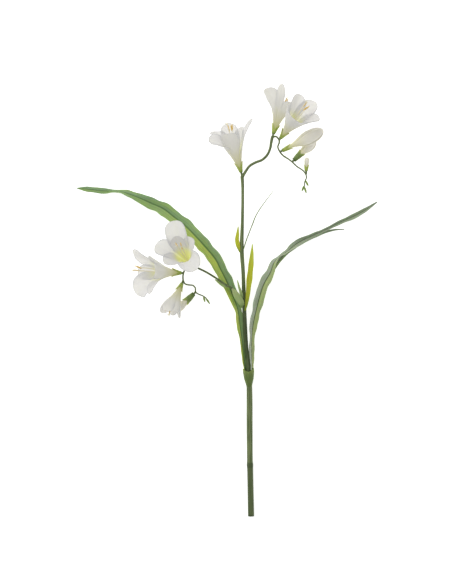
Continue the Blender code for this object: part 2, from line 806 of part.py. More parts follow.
def stamens(flower, place, skin):
    """Three anthers on filaments and a forked style, rising from one short column in the tube."""
    foot = FUNNEL_INSIDE[-1][0] * flower.size + SEAT_GAP
    split = STAMEN_SPLIT * flower.size
    reach = STAMEN_REACH * flower.stamen
    body = rod("column", (0.0, 0.0, foot), (0.0, 0.0, split), COLUMN_RADIUS, place)
    pieces = []
    for k in range(3):
        pieces += anther(radians(ANTHER_FIRST_TURN + ANTHER_TURN * k), split, reach, place)
    style_foot = Vector((0.0, 0.0, split - STAMEN_ROOT_DEPTH))
    style_top = Vector((0.0, 0.0, reach)) + Vector(STYLE_TOP_OFFSET)
    pieces.append(rod("style", style_foot, style_top, FILAMENT_RADIUS, place))
    for k in range(2):
        angle = radians(180.0 + STIGMA_TURN * k)
        spread = Vector((cos(angle), sin(angle), 0.0)) * STIGMA_SPREAD
        end = style_top + spread + Vector((0.0, 0.0, STIGMA_RISE))
        start = style_top - Vector((0.0, 0.0, STIGMA_ROOT_DEPTH))
        pieces.append(rod("stigma", start, end, FILAMENT_RADIUS, place))
    return finish(fuse(body, pieces), flower.name + "_stamens", skin)


def flower_place(plant):
    """Where the foot of a flower or bud sits: past its pedicel, clear of it by SEAT_GAP."""
    return placed(plant.node + plant.aim * (plant.pedicel + SEAT_GAP), plant.aim)


def build_flower(flower):
    place = flower_place(flower)
    size = flower.size
    funnel = lathe("funnel", funnel_profile(size), FUNNEL_SIDES, place)
    pieces = []
    for shift, whorl in ((TEPAL_SHIFT, flower.outer), (-TEPAL_SHIFT, flower.inner)):
        for tepal in whorl:
            grid = tepal_grid(tepal, shift, size, TEPAL_ROWS, TEPAL_COLUMNS)
            world = [[on_table(place @ point, PETAL_THICKNESS) for point in row] for row in grid]
            pieces.append(sheet("tepal", world, PETAL_THICKNESS))
    finish(fuse(funnel, pieces), flower.name + "_petals", material("petal", WHITE, PETAL_ROUGHNESS))

    def tube_radius(height):
        return table_value(FUNNEL_OUTSIDE, height / size) * size

    green = material("bract", BRACT_GREEN, GREEN_ROUGHNESS)
    calyx(flower.name + "_bracts", place, tube_radius, flower.bract, flower.cover, green)
    stamens(flower, place, material("stamen", ANTHER_YELLOW, PETAL_ROUGHNESS))


def bud_radius(bud, height):
    """The radius of a closed bud: slim in its bracts, then a spindle with a blunt tip."""
    neck = bud.calyx_radius - SEAT_GAP - BRACT_THICKNESS
    swell_foot = bud.bract * BUD_SWELL_START
    free = max(0.0, (height - swell_foot) / (bud.length - swell_foot))
    bulge = sin(pi / 2.0 * min(1.0, free / BUD_SWELL_END)) ** BUD_SWELL_POWER
    closing = max(0.0, (height / bud.length - BUD_CLOSING_START) / (1.0 - BUD_CLOSING_START))
    foot = min(1.0, BUD_FOOT_SHARE + (1.0 - BUD_FOOT_SHARE) * height / (bud.bract * 0.5))
    return (neck + (bud.radius - neck) * bulge) * sqrt(1.0 - BUD_CLOSING_CUT * closing**2) * foot


def bud_ring(bud, height):
    """One ring of a bud: three petals wrapped round each other show as three slowly turning lobes."""
    radius = bud_radius(bud, height)
    free = smooth_step((height - bud.bract * bud.cover) / (bud.length * BUD_LOBES_FULL))
    ring = []
    for k in range(BUD_SIDES):
        angle = 2.0 * pi * k / BUD_SIDES
        lobe = 1.0 + BUD_LOBES * free * cos(3.0 * angle + BUD_TWIST * height / bud.length)
        ring.append(Vector((radius * lobe * cos(angle), radius * lobe * sin(angle), height)))
    return ring


def loft(name, rings, foot, tip, place):
    """A closed solid through rings of points, closed at a foot point and a tip point."""
    bm = bmesh.new()
    loops = [[bm.verts.new(place @ point) for point in ring] for ring in rings]
    foot_corner, tip_corner = bm.verts.new(place @ foot), bm.verts.new(place @ tip)
    for lower, upper in zip(loops, loops[1:]):
        for k in range(len(lower)):
            n = (k + 1) % len(lower)
            bm.faces.new((lower[k], lower[n], upper[n], upper[k]))
    for k in range(len(loops[0])):
        n = (k + 1) % len(loops[0])
        bm.faces.new((loops[0][n], loops[0][k], foot_corner))
        bm.faces.new((loops[-1][k], loops[-1][n], tip_corner))
    return add_object(name, closed_mesh(name, bm))


def build_bud(bud):
    place = flower_place(bud)
    foot = CALYX_FLOOR + SEAT_GAP
    heights = [foot + (bud.length - foot) * i / BUD_ROWS for i in range(BUD_ROWS + 1)]
    rings = [bud_ring(bud, height) for height in heights]
    ends = Vector((0.0, 0.0, foot)), Vector((0.0, 0.0, bud.length + BUD_TIP_RISE))
    body = loft("bud", rings, *ends, place)
    finish(body, bud.name + "_petals", material("bud_petal", CREAM, PETAL_ROUGHNESS))

    def held_radius(height):
        return bud_radius(bud, max(height, foot))

    green = material("bract", BRACT_GREEN, GREEN_ROUGHNESS)
    calyx(bud.name + "_bracts", place, held_radius, bud.bract, bud.cover, green)


def pedicel(plant):
    """The short stem between a node of the stalk and its flower or bud."""
    end = plant.node + plant.aim * plant.pedicel
    rows = [(*point, PEDICEL_RADIUS) for point in (plant.node, plant.node.lerp(end, 0.5), end)]
    return tube("pedicel", rows, AXIS_SIDES, plant.pedicel)


def sheath():
    """The collar that grows from the stalk and holds the feet of the leaves."""
    foot, mouth = Vector(SHEATH_FOOT), Vector(SHEATH_MOUTH)
    length = (mouth - foot).length
    outside = [(radius, share * length) for share, radius in SHEATH_OUTSIDE]
    inside = [(radius, share * length) for share, radius in SHEATH_INSIDE]
    profile = [(0.0, 0.0), *outside, *inside, (0.0, inside[-1][1])]
    return lathe("sheath", profile, SHEATH_SIDES, placed(foot, (mouth - foot).normalized()))


def build_stalk():
    """The stalk with all that grows from it as one body: axes, branch, sheath and bracts."""
    skin = material("stalk", STALK_GREEN, STALK_ROUGHNESS)
    body = tube("stalk", STALK, STALK_SIDES, STALK_ROW_STEP)
    pieces = [
        sheath(),
        tube("upper axis", UPPER_AXIS, AXIS_SIDES, AXIS_ROW_STEP),
        tube("upper zigzag", UPPER_ZIGZAG, AXIS_SIDES, AXIS_ROW_STEP),
        tube("side branch", SIDE_BRANCH, AXIS_SIDES, BRANCH_ROW_STEP),
    ]
    pieces += [spindle("tip bud", foot, tip, radius, TIP_BUD_SIDES) for foot, tip, radius in TIP_BUDS]
    pieces += [pedicel(plant) for plant in [*FLOWERS, HALF_OPEN, *BUDS]]
    for rows in (SPATHE, POINTED_BRACT, BRANCH_BRACT, THREAD_BRACT):
        pieces.append(blade("bract", rows, BRACT_COLUMNS, BRACT_ROW_STEP, BRACT_THICKNESS, skin))
    finish(fuse(body, pieces), "stalk", skin)


def build_leaves():
    green = material("leaf", LEAF_GREEN, GREEN_ROUGHNESS)
    for name, rows in (("left_leaf", LEFT_LEAF), ("right_leaf", RIGHT_LEAF)):
        blade(name, rows, LEAF_COLUMNS, LEAF_ROW_STEP, LEAF_THICKNESS, green, wave=LEAF_WAVE)
    shape = (NARROW_LEAF_COLUMNS, LEAF_ROW_STEP, LEAF_THICKNESS)
    blade("narrow_leaf", NARROW_LEAF, *shape, green, fold=NARROW_LEAF_FOLD)


def build_bracts():
    yellow = material("yellow_bract", YELLOW_GREEN, GREEN_ROUGHNESS)
    for name, rows in (("yellow_bract", YELLOW_BRACT), ("upper_bract", UPPER_BRACT)):
        blade(name, rows, BRACT_COLUMNS, BRACT_ROW_STEP, BRACT_THICKNESS, yellow)


def clear_scene():
    for obj in list(bpy.data.objects):
        bpy.data.objects.remove(obj)


def main():
    clear_scene()
    build_stalk()
    build_leaves()
    build_bracts()
    for flower in [*FLOWERS, HALF_OPEN]:
        build_flower(flower)
    for bud in BUDS:
        build_bud(bud)


main()
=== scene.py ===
# %% [markdown]
# # A freesia stem on a white table
#
# A freesia's thin green stalk bends over sideways near its top, so that its flowers stand
# in a row on the bend. This one is cut and lies on a table, and the camera looks straight
# down on it. The solids of the part give the size and the place of everything. This lesson
# puts a finer surface on each: petals with veins, folded leaves, and round stems.

# %% Load the part
from math import cos, floor, pi, radians, sin, sqrt

import bmesh
import bpy
from mathutils import Matrix, Vector, noise


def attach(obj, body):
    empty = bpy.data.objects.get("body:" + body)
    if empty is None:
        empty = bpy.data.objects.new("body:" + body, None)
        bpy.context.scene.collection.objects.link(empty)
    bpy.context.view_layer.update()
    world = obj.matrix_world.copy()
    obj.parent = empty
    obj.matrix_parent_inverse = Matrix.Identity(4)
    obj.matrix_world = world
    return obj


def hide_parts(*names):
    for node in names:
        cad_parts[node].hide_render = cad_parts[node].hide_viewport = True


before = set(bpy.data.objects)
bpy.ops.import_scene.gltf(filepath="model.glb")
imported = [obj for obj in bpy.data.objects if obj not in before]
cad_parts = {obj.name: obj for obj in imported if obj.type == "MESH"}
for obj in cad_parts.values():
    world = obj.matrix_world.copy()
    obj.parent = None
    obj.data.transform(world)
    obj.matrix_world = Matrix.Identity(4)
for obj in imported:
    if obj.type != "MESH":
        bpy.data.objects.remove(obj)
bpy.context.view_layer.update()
MM = 0.001
UP = Vector((0.0, 0.0, 1.0))


# %% [markdown]
# ## Curves through a few points
#
# Every stem and leaf is drawn by a few points, each with its own width. A Catmull-Rom
# curve runs smoothly through them: at each point it heads from the one before towards the
# one after. Its speed follows the distances, because otherwise it swings back on itself
# where a short distance follows a long one, as at the joint low in the stalk. A ready-made
# Bezier curve would do as well, but here the width and the turn of a blade come along.


# %% A smooth line through rows of numbers
def smooth_step(t):
    t = min(max(t, 0.0), 1.0)
    return t * t * (3.0 - 2.0 * t)


def table_value(table, x):
    """The value at x of a list of (x, value), on straight lines between its points."""
    for (x0, v0), (x1, v1) in zip(table, table[1:]):
        if x <= x1:
            return v0 + (v1 - v0) * (x - x0) / (x1 - x0)
    return table[-1][1]


def distances(points):
    """How far it is from each point of a line to the next."""
    return [(Vector(b[:3]) - Vector(a[:3])).length for a, b in zip(points, points[1:])]


def through(points, step):
    """Points of a smooth curve through the given rows of numbers, about step apart."""
    rows = [points[0], *points, points[-1]]
    spans = [0.0, *distances(points), 0.0]
    made = []
    for i, (a, b, c, d) in enumerate(zip(rows, rows[1:], rows[2:], rows[3:])):
        before, span, after = spans[i : i + 3]
        leave, arrive = span / (span + before), span / (span + after)
        pieces = max(1, round(span / step))
        for k in range(pieces):
            t = k / pieces
            made.append(
                [
                    q * (2.0 * t**3 - 3.0 * t**2 + 1.0)
                    + r * (3.0 * t**2 - 2.0 * t**3)
                    + (r - p) * leave * (t**3 - 2.0 * t**2 + t)
                    + (s - q) * arrive * (t**3 - t**2)
                    for p, q, r, s in zip(a, b, c, d)
                ]
            )
    made.append(list(points[-1]))
    return made


def tangents(points):
    """The direction of a line of points at each of them."""
    ends = [points[0], *points, points[-1]]
    return [(b - a).normalized() for a, b in zip(ends, ends[2:])]


print("points on a test curve:", len(through([(0, 0, 0), (10, 5, 0), (20, 0, 0)], 1.0)))

# %% [markdown]
# ## Nodes written as sums
#
# A material is a small calculation at every point of the surface. One call for each node
# is hard to read, so a socket is wrapped in a class that knows `+`, `-` and `*`. Then
# `1 - mask * 0.3` builds its own Math nodes. Every other node comes from one method, which
# takes the node's type, its settings, and what goes into its sockets.


# %% A socket that can be added and multiplied
class Wire:
    """An output socket of a node tree. Sums on it add the Math nodes that work them out."""

    def __init__(self, bench, socket):
        self.bench = bench
        self.socket = socket

    def math(self, operation, *values):
        sockets = dict(enumerate(values))
        return self.bench.node("ShaderNodeMath", {"operation": operation}, sockets)

    def __add__(self, other):
        return self.math("ADD", self, other)

    def __sub__(self, other):
        return self.math("SUBTRACT", self, other)

    def __rsub__(self, other):
        return self.math("SUBTRACT", other, self)

    def __mul__(self, other):
        return self.math("MULTIPLY", self, other)

    __radd__ = __add__
    __rmul__ = __mul__

    def step(self, low, high):
        """0 below low, 1 above high, and a smooth rise between them."""
        values = {"Value": self, "From Min": low, "From Max": high}
        return self.bench.node("ShaderNodeMapRange", {"interpolation_type": "SMOOTHSTEP"}, values)

    def band(self, rise, fall):
        """0, then 1, then 0 again. The rise and the fall each run between two values."""
        return self.step(*rise) * (1.0 - self.step(*fall))

    def away(self, middle):
        """How far it is from a middle value, on either side."""
        off = self - middle
        return off.math("ABSOLUTE", off)


class Bench:
    """A node tree and the one method that puts a node on it."""

    def __init__(self, tree):
        self.tree = tree

    def node(self, kind, settings=None, sockets=None, output=0):
        made = self.tree.nodes.new(kind)
        for name, value in (settings or {}).items():
            setattr(made, name, value)
        for name, value in (sockets or {}).items():
            self.feed(made.inputs[name], value)
        return Wire(self, made.outputs[output])

    def feed(self, socket, value):
        if isinstance(value, Wire):
            self.tree.links.new(value.socket, socket)
        else:
            socket.default_value = value


print("sockets can be summed")


# %% A material that ends in one shader
class Finish(Bench):
    """A material whose nodes feed one Principled shader. Soft is the share of the light that
    goes into the skin, depth is how far in metres, and spread is how far each colour gets."""

    def __init__(self, name, soft=0.0, depth=0.05, spread=(1.0, 0.2, 0.1), shine=0.5, glow=0.0):
        self.material = bpy.data.materials.new(name)
        self.material.use_nodes = True
        super().__init__(self.material.node_tree)
        self.shader = self.tree.nodes["Principled BSDF"]
        self.glow = glow
        constants = {
            "Subsurface Weight": soft,
            "Subsurface Scale": depth,
            "Subsurface Radius": spread,
            "Specular IOR Level": shine,
            "Emission Strength": glow,
        }
        for socket, value in constants.items():
            self.shader.inputs[socket].default_value = value

    def first_two(self, vector):
        return [self.node("ShaderNodeSeparateXYZ", None, {0: vector}, axis) for axis in (0, 1)]

    def surface(self):
        """Across, from 0 to 1, and along, in the piece's own measure, from its UV map."""
        return self.first_two(self.node("ShaderNodeUVMap", {"uv_map": "way"}))

    def place(self):
        return self.node("ShaderNodeTexCoord", None, None, "Object")

    def grain(self, vector, scale, detail=2.0):
        """A soft random value around 0.5."""
        values = {"Vector": vector, "Scale": scale, "Detail": detail}
        return self.node("ShaderNodeTexNoise", None, values)

    def streaks(self, across, along, detail=2.0):
        """The same on the surface, finer in the direction that was multiplied by more."""
        flat = self.node("ShaderNodeCombineXYZ", None, {0: across, 1: along})
        return self.grain(flat, 1.0, detail)

    def blend(self, factor, first, second):
        """A colour between two others, each a wire or red, green and blue on the screen. A Mix
        node takes its colours in sockets 6 and 7."""
        pair = [colour if isinstance(colour, Wire) else rgb(*colour) for colour in (first, second)]
        sockets = {0: factor, 6: pair[0], 7: pair[1]}
        return self.node("ShaderNodeMix", {"data_type": "RGBA"}, sockets, 2)

    def done(self, colour, roughness, height=None, depth=0.0002):
        """The material, with a bump of the given depth in metres where there is a height."""
        self.feed(self.shader.inputs["Base Color"], colour)
        self.feed(self.shader.inputs["Roughness"], roughness)
        # Glow is emission in the base colour. On petals, buds and stamens it is painted light, for
        # the light that comes through them; on the table it keeps the floor evenly white.
        if self.glow:
            self.feed(self.shader.inputs["Emission Color"], colour)
        if height:
            values = {"Height": height, "Distance": depth, "Strength": 0.6}
            self.feed(self.shader.inputs["Normal"], self.node("ShaderNodeBump", None, values))
        return self.material


def rgb(red, green, blue):
    """A colour as it looks on the screen, 0 to 255, turned into the share of light sent back."""
    shares = [channel / 255.0 for channel in (red, green, blue)]
    return (*[s / 12.92 if s <= 0.04045 else ((s + 0.055) / 1.055) ** 2.4 for s in shares], 1.0)


print("leaf green as light:", [round(value, 3) for value in rgb(125, 165, 85)])

# %% [markdown]
# ## Petal finishes
#
# A white freesia petal isn't plain white. It is cream where it leaves the tube, and fine
# veins run to its tip. It also lets light through, so its shaded side stays bright.
# Subsurface scattering does part of that, and a weak glow in the petal's own colour stands
# for the light from behind. The throat is yellow-green, so the inner skin of each petal has
# a finish of its own.


# %% Petals outside and inside
def petal_colours(finish, across, along, base, middle, white, fade):
    """Base, middle and white along a petal, veins of the middle colour, and soft clouds."""
    veins = finish.streaks(across * 26.0, along * 1.6, 3.0)
    cloud = finish.grain(finish.place(), 70.0)
    start, end = fade
    opened = along.step(start, end) * (0.82 + 0.36 * cloud)
    colour = finish.blend(along.step(start - 0.1, start + 0.15), base, middle)
    colour = finish.blend(opened, colour, white)
    return finish.blend(veins.step(0.52, 0.72) * 0.22, colour, middle), veins, cloud


def petal_finish(name, base, middle, white, fade):
    """A petal with painted shading along its edges, which are greyer. The fade to white runs
    between two shares.
    """
    finish = Finish(name, 0.5, 0.004, (1.0, 0.97, 0.88), shine=0.2, glow=0.6)
    across, along = finish.surface()
    colour, veins, cloud = petal_colours(finish, across, along, base, middle, white, fade)
    # painted shading: the edges of the petal are greyer, as a petal looks where it turns edge-on
    edge_shading = across.away(0.5).step(0.38, 0.5) * along.step(0.4, 0.6)
    colour = finish.blend(edge_shading * 0.6, colour, (146, 148, 151))
    return finish.done(colour, 0.55 + 0.16 * cloud, veins + 0.3 * cloud, 0.00025)


BUD_PETALS = 3
BUD_TURN = 0.35


def bud_finish():
    """Bud petals, with a line of painted shading where the edge of one lies on the next."""
    # glow: painted light, for the light that comes through the bud's petals
    finish = Finish("bud_skin", 0.4, 0.003, (1.0, 0.95, 0.75), shine=0.2, glow=0.15)
    across, along = finish.surface()
    whites = ((184, 196, 108), (214, 210, 172), (226, 223, 212))
    colour, veins, cloud = petal_colours(finish, across, along, *whites, (0.15, 0.7))
    turned = across * BUD_PETALS + along * BUD_TURN
    share = turned.math("FRACT", turned)
    # painted shading along the step where the edge of one petal lies on the next
    seam_shading = share.band((0.8, 0.9), (0.91, 1.0)) * along.step(0.25, 0.5)
    colour = finish.blend(seam_shading * 0.55, colour, (172, 168, 138))
    return finish.done(colour, 0.55 + 0.16 * cloud, veins, 0.0002)


petal_outside = petal_finish(
    "petal_outside", (142, 146, 94), (158, 155, 130), (165, 164, 160), (0.1, 0.5)
)
petal_inside = petal_finish(
    "petal_inside", (181, 183, 114), (174, 174, 138), (168, 167, 166), (0.34, 0.58)
)
bud_skin = bud_finish()
print("petal finishes:", petal_outside.name, petal_inside.name, bud_skin.name)

# %% [markdown]
# ## Leaf, stalk and bract finishes
#
# Freesia leaves are swords with fine lines from end to end and one strong midrib. The two
# halves of the fold have colours of their own, partly the leaf's own tint and partly painted
# light and shading for how the light falls on each: on the left leaf one half is lime and the
# other blue-green. The lines come from noise that is drawn out along the leaf. A leaf turns
# greyer towards its tip, so a second pair of greens takes over there. The stalk is grey-green
# and streaked, with a painted shadow where the leaves lie over it, and darker from its joint down
# and at the cut.


# %% Striped leaves
def leaf_finish(name, near, far, rib, fleck, turn_grey):
    """A leaf whose right and left half have the colours of near at the foot and of far at the
    tip, partly its own tint and partly painted light and shading for how light falls on each
    half. It turns grey between two lengths, given in tenths of a metre."""
    finish = Finish(name, 0.12, 0.002, (0.5, 1.0, 0.3), shine=0.35)
    across, along = finish.surface()
    lines = finish.streaks(across * 34.0, along * 0.8, 3.0)
    patches = finish.streaks(across * 2.2, along * 4.0)
    # painted light and shading: each half of the fold gets a green of its own, partly its own tint
    half = across.step(0.4, 0.6)
    greyed = along.step(*turn_grey)
    colour = finish.blend(greyed, finish.blend(half, *near), finish.blend(half, *far))
    colour = finish.blend(patches.step(0.42, 0.68) * 0.7, colour, fleck)
    colour = finish.blend(lines.step(0.42, 0.66) * 0.38, colour, rib)
    midrib = 1.0 - across.away(0.5).step(0.02, 0.1)
    colour = finish.blend(midrib * 0.9, colour, rib)
    return finish.done(colour, 0.42 + 0.2 * lines, lines - 0.9 * midrib, 0.0003)


left_leaf_skin = leaf_finish(
    "left_leaf_skin",
    ((150, 176, 126), (208, 220, 104)),
    ((142, 170, 126), (146, 174, 112)),
    (86, 116, 66),
    (160, 186, 104),
    (1.2, 2.2),
)
right_leaf_skin = leaf_finish(
    "right_leaf_skin",
    ((176, 190, 122), (184, 192, 174)),
    ((174, 184, 160), (148, 160, 136)),
    (74, 92, 46),
    (160, 172, 138),
    (1.0, 1.5),
)
print("leaf finishes:", left_leaf_skin.name, right_leaf_skin.name)


# %% Stalk and bracts
def stalk_finish(name, light, dark, shadow_joint_and_cut, cut):
    """Stalk green: streaked, with a painted shadow of the leaves among the leaf feet, and darker
    at the joint, below it and at the cut end.
    """
    finish = Finish(name, 0.05, 0.002, (0.5, 1.0, 0.3), shine=0.3)
    place = finish.place()
    x, y = finish.first_two(place)
    scale = {"Vector": place, "Scale": (1100.0, 50.0, 1100.0)}
    lines = finish.grain(finish.node("ShaderNodeMapping", None, scale), 1.0)
    blotches = finish.grain(place, 90.0)
    colour = finish.blend(lines.step(0.36, 0.66), dark, light)
    # painted shadow of the leaves on the stalk, among their feet
    leaf_shadow = y.band((-0.085, -0.06), (-0.01, 0.03)) * x.step(0.008, 0.013)
    colour = finish.blend(leaf_shadow * 0.75, colour, shadow_joint_and_cut)
    colour = finish.blend(blotches.step(0.5, 0.75) * 0.3, colour, light)
    below_joint = 1.0 - y.step(-0.168, -0.165)
    colour = finish.blend(below_joint * 0.6, colour, cut)
    joint = y.band((-0.1685, -0.1665), (-0.1635, -0.1615))
    cut_end = 1.0 - y.step(-0.2158, -0.214)
    colour = finish.blend((joint + cut_end) * 0.6, colour, shadow_joint_and_cut)
    return finish.done(colour, 0.48 + 0.2 * blotches, lines, 0.0002)


def bract_finish(name, base, body, tip, streak=0.4):
    """Three greens from foot to tip, with streaks of the first one."""
    finish = Finish(name, 0.2, 0.002, (0.6, 1.0, 0.3), shine=0.3)
    across, along = finish.surface()
    lines = finish.streaks(across * 22.0, along * 1.4)
    colour = finish.blend(along.step(0.0, 0.35), base, body)
    colour = finish.blend(along.step(0.55, 1.0), colour, tip)
    colour = finish.blend(lines.step(0.48, 0.66) * streak, colour, base)
    return finish.done(colour, 0.45 + 0.2 * lines, lines, 0.0002)


stalk_skin = stalk_finish("stalk_skin", (126, 139, 93), (88, 103, 62), (52, 68, 37), (74, 87, 52))
tip_bud_skin = stalk_finish("tip_bud_skin", (164, 184, 104), *[(122, 148, 72)] * 3)
light_bract = bract_finish("light_bract", (126, 150, 66), (168, 182, 88), (208, 208, 146))
dark_bract = bract_finish("dark_bract", (90, 112, 54), (118, 138, 76), (178, 188, 112))
sheath_skin = bract_finish("sheath_skin", (92, 112, 56), (104, 124, 64), (132, 148, 78))
pale_bract = bract_finish("pale_bract", (128, 152, 90), (172, 190, 128), (190, 200, 142), 0.5)
grey_bract = bract_finish("grey_bract", (116, 134, 88), (148, 160, 122), (186, 190, 172))
yellow_bract = bract_finish(
    "yellow_bract_skin", (146, 160, 40), (196, 194, 52), (202, 206, 84), 0.6
)
print("stalk and bract finishes:", stalk_skin.name, light_bract.name, dark_bract.name)


# %% Stamens
def stamen_finish(name, first, second):
    """Two colours mixed as fine dust."""
    # glow: painted light, which keeps the anthers and threads bright in their shaded places
    finish = Finish(name, 0.15, 0.001, (1.0, 0.9, 0.7), glow=0.1)
    dust = finish.grain(finish.place(), 1400.0, 3.0)
    colour = finish.blend(dust.step(0.35, 0.65), first, second)
    return finish.done(colour, 0.75 + 0.1 * dust, dust, 0.0003)


anther_skin = stamen_finish("anther_skin", (216, 176, 84), (236, 208, 138))
filament_skin = stamen_finish("filament_skin", (226, 222, 200), (234, 224, 196))
print("stamen finishes:", anther_skin.name, filament_skin.name)

# %% [markdown]
# ## Skins
#
# Petals, leaves and bracts are all thin sheets. Each is a grid of points that Solidify
# gives a thickness. The grid carries a UV map called `way`: across the sheet, and along
# it. The finishes read that map, so veins follow the petal wherever it bends. Solidify also
# gives its second skin the next material, and so the inside of a petal has its own finish.


# %% Thin sheets from grids of points
def stand(name, data):
    """An object for a mesh, a lamp or a camera."""
    made = bpy.data.objects.new(name, data)
    bpy.context.scene.collection.objects.link(made)
    return made


def add_piece(name, bm, finishes=()):
    """A piece with the given finishes, from a finished bmesh."""
    mesh = bpy.data.meshes.new(name)
    bm.to_mesh(mesh)
    bm.free()
    for finish in finishes:
        mesh.materials.append(finish)
    return stand(name, mesh)


def plain(piece):
    """The piece with its modifiers turned into mesh."""
    graph = bpy.context.evaluated_depsgraph_get()
    mesh = bpy.data.meshes.new_from_object(piece.evaluated_get(graph))
    piece.modifiers.clear()
    piece.data = mesh
    return piece


def add_sheet(bm, layer, grid, wrap):
    """The faces of a grid, whose rows hold (point in mm, across, along) for each corner."""
    rows = [[(bm.verts.new(point * MM), *rest) for point, *rest in row] for row in grid]
    for lower, upper in zip(rows, rows[1:]):
        columns = len(lower) if wrap else len(lower) - 1
        for k in range(columns):
            n = (k + 1) % len(lower)
            corners = [lower[k], lower[n], upper[n], upper[k]]
            face = bm.faces.new([corner[0] for corner in corners])
            face.smooth = True
            for loop, (_, across, along) in zip(face.loops, corners):
                loop[layer].uv = (1.0 if n == 0 and across == 0.0 else across, along)
    return rows


def skins(name, grids, thickness, finishes, wrap=False):
    """One piece of several thin sheets. A wrapped sheet closes on itself like a tube."""
    bm = bmesh.new()
    layer = bm.loops.layers.uv.new("way")
    for grid in grids:
        add_sheet(bm, layer, grid, wrap)
    piece = add_piece(name, bm, finishes)
    wall = piece.modifiers.new("wall", "SOLIDIFY")
    wall.thickness = thickness * MM
    wall.offset = 0.0
    wall.use_even_offset = False
    wall.material_offset = len(finishes) - 1
    return plain(piece)


print("open sheets are ready")


# %% Round sheets, and the place of a piece in the part
def round_grid(place, rows, sides, shape):
    """A sheet that closes round its own Z. For a share along it and an angle, the shape
    gives the radius, the height and the measure along."""
    grid = []
    for i in range(rows + 1):
        row = []
        for k in range(sides):
            angle = 2.0 * pi * k / sides
            radius, height, along = shape(i / rows, angle)
            point = place @ Vector((radius * cos(angle), radius * sin(angle), height))
            row.append((point, k / sides, along))
        grid.append(row)
    return grid


def belongs(piece, slot, *nodes):
    """The piece stands for the CAD nodes and rides with the part."""
    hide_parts(*nodes)
    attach(piece, "root")
    triangles = sum(len(face.vertices) - 2 for face in piece.data.polygons)
    print(f"{piece.name}: {triangles} triangles")


def on_table(point, lift):
    """A point that is kept from sinking into the table."""
    point.z = max(point.z, lift)
    return point


print("round sheets are ready")

# %% [markdown]
# ## Leaves
#
# A freesia leaf is a folded strip. Its edges wave a little, because they grow faster than
# the midrib. The left leaf arches out from the sheath, twists once, and lies flat near its
# end. The right leaf does the same, with a narrow leaf under it that shows where they part.

# %% The lines of the leaves
LEFT_LEAF = [
    (18.35, -77.4, 6.3, 1.8, 58), (17, -66, 6, 2.9, 56), (15.8, -50, 5.6, 3.5, 50),
    (13.6, -33, 5, 4.4, 42), (10.5, -9.5, 4.8, 4.8, 36), (5, 6.5, 5.6, 5.4, 18),
    (-0.5, 19.5, 6.6, 6, 2), (-6.5, 31.5, 7.6, 6.4, -10), (-11.5, 41.5, 8.2, 6.6, -14),
    (-20.5, 52.5, 8.6, 6.6, -8), (-31.5, 64.5, 8.6, 6.6, 0), (-42.5, 75.5, 8.4, 6.6, 6),
    (-54.5, 85, 7.8, 6.4, 0), (-63.5, 92, 7, 6.6, -8), (-77.5, 98.5, 5.6, 5.8, -14),
    (-90.5, 104, 4.2, 4.4, 4), (-105.5, 109, 2.8, 2.8, 52), (-112.5, 109.6, 2, 2.3, 50),
    (-124.5, 110.4, -0.8, 2.8, 0), (-139.5, 112, -0.8, 2.7, 0), (-151, 113.1, -0.8, 0.5, 0),
]
RIGHT_LEAF = [
    (24.75, -76.9, 6.2, 1.9, 55), (24.5, -66, 7.1, 2.9, 58), (24, -44.5, 8, 3.9, 52),
    (25.5, -25.5, 8.8, 4.2, 34), (28.5, -11.5, 9.2, 4.6, 20), (32.1, 2.5, 9.4, 5, 8),
    (36.5, 16, 9.2, 5, -4), (43.5, 28.5, 8.8, 4.7, -18), (47.2, 38, 8.2, 3.9, -40),
    (53, 44, 7.4, 3, -80), (59.5, 48.5, 6.8, 3.1, -60), (70.5, 57.5, 5.6, 3.7, -14),
    (82.5, 64, 4.6, 2.8, 20), (97.5, 71, 3.6, 2, 40), (112.5, 78.5, 2.4, 2.2, 20),
    (126.5, 84.5, 1.3, 2.5, 6), (138.5, 91, -0.4, 2.2, 0), (150.8, 99.3, -0.4, 0.45, 0),
]
NARROW_LEAF = [
    (21.7, -77, 2.9, 1.5, 0), (22.2, -66, 2.6, 1.7, 0), (24, -45, 3, 1.8, 0),
    (26.5, -25, 3.4, 1.9, 0), (30.6, -6, 3.6, 2, 0), (35.5, 12, 3.6, 2.1, 0),
    (44, 28.5, 3.2, 2.1, 0), (54.5, 43, 2.8, 2, 0), (69, 55, 2.2, 1.9, 0),
    (84, 63, 1.4, 1.7, 0), (97, 68.3, 0.2, 1.3, 0), (108, 71.2, 0.2, 0.9, 0),
    (117.8, 71.7, 0.2, 0.4, 0),
]
LEAF_THICKNESS = 0.5
LEAF_FOLD = 0.28
LEAF_WAVE = 0.55
LEAF_WAVE_LENGTH = 31.0
LEAF_FRILL = 0.35
LEAF_FRILL_LENGTH = 11.0
LEAF_UNEVEN = ((0.06, 23.0), (0.04, 13.7))
print("leaf points:", len(LEFT_LEAF), len(RIGHT_LEAF), len(NARROW_LEAF))


# %% A folded blade with waved edges
def swing(travelled, length, start=0.0):
    """A wave of the given length along a blade."""
    return sin(2.0 * pi * travelled / length + start)


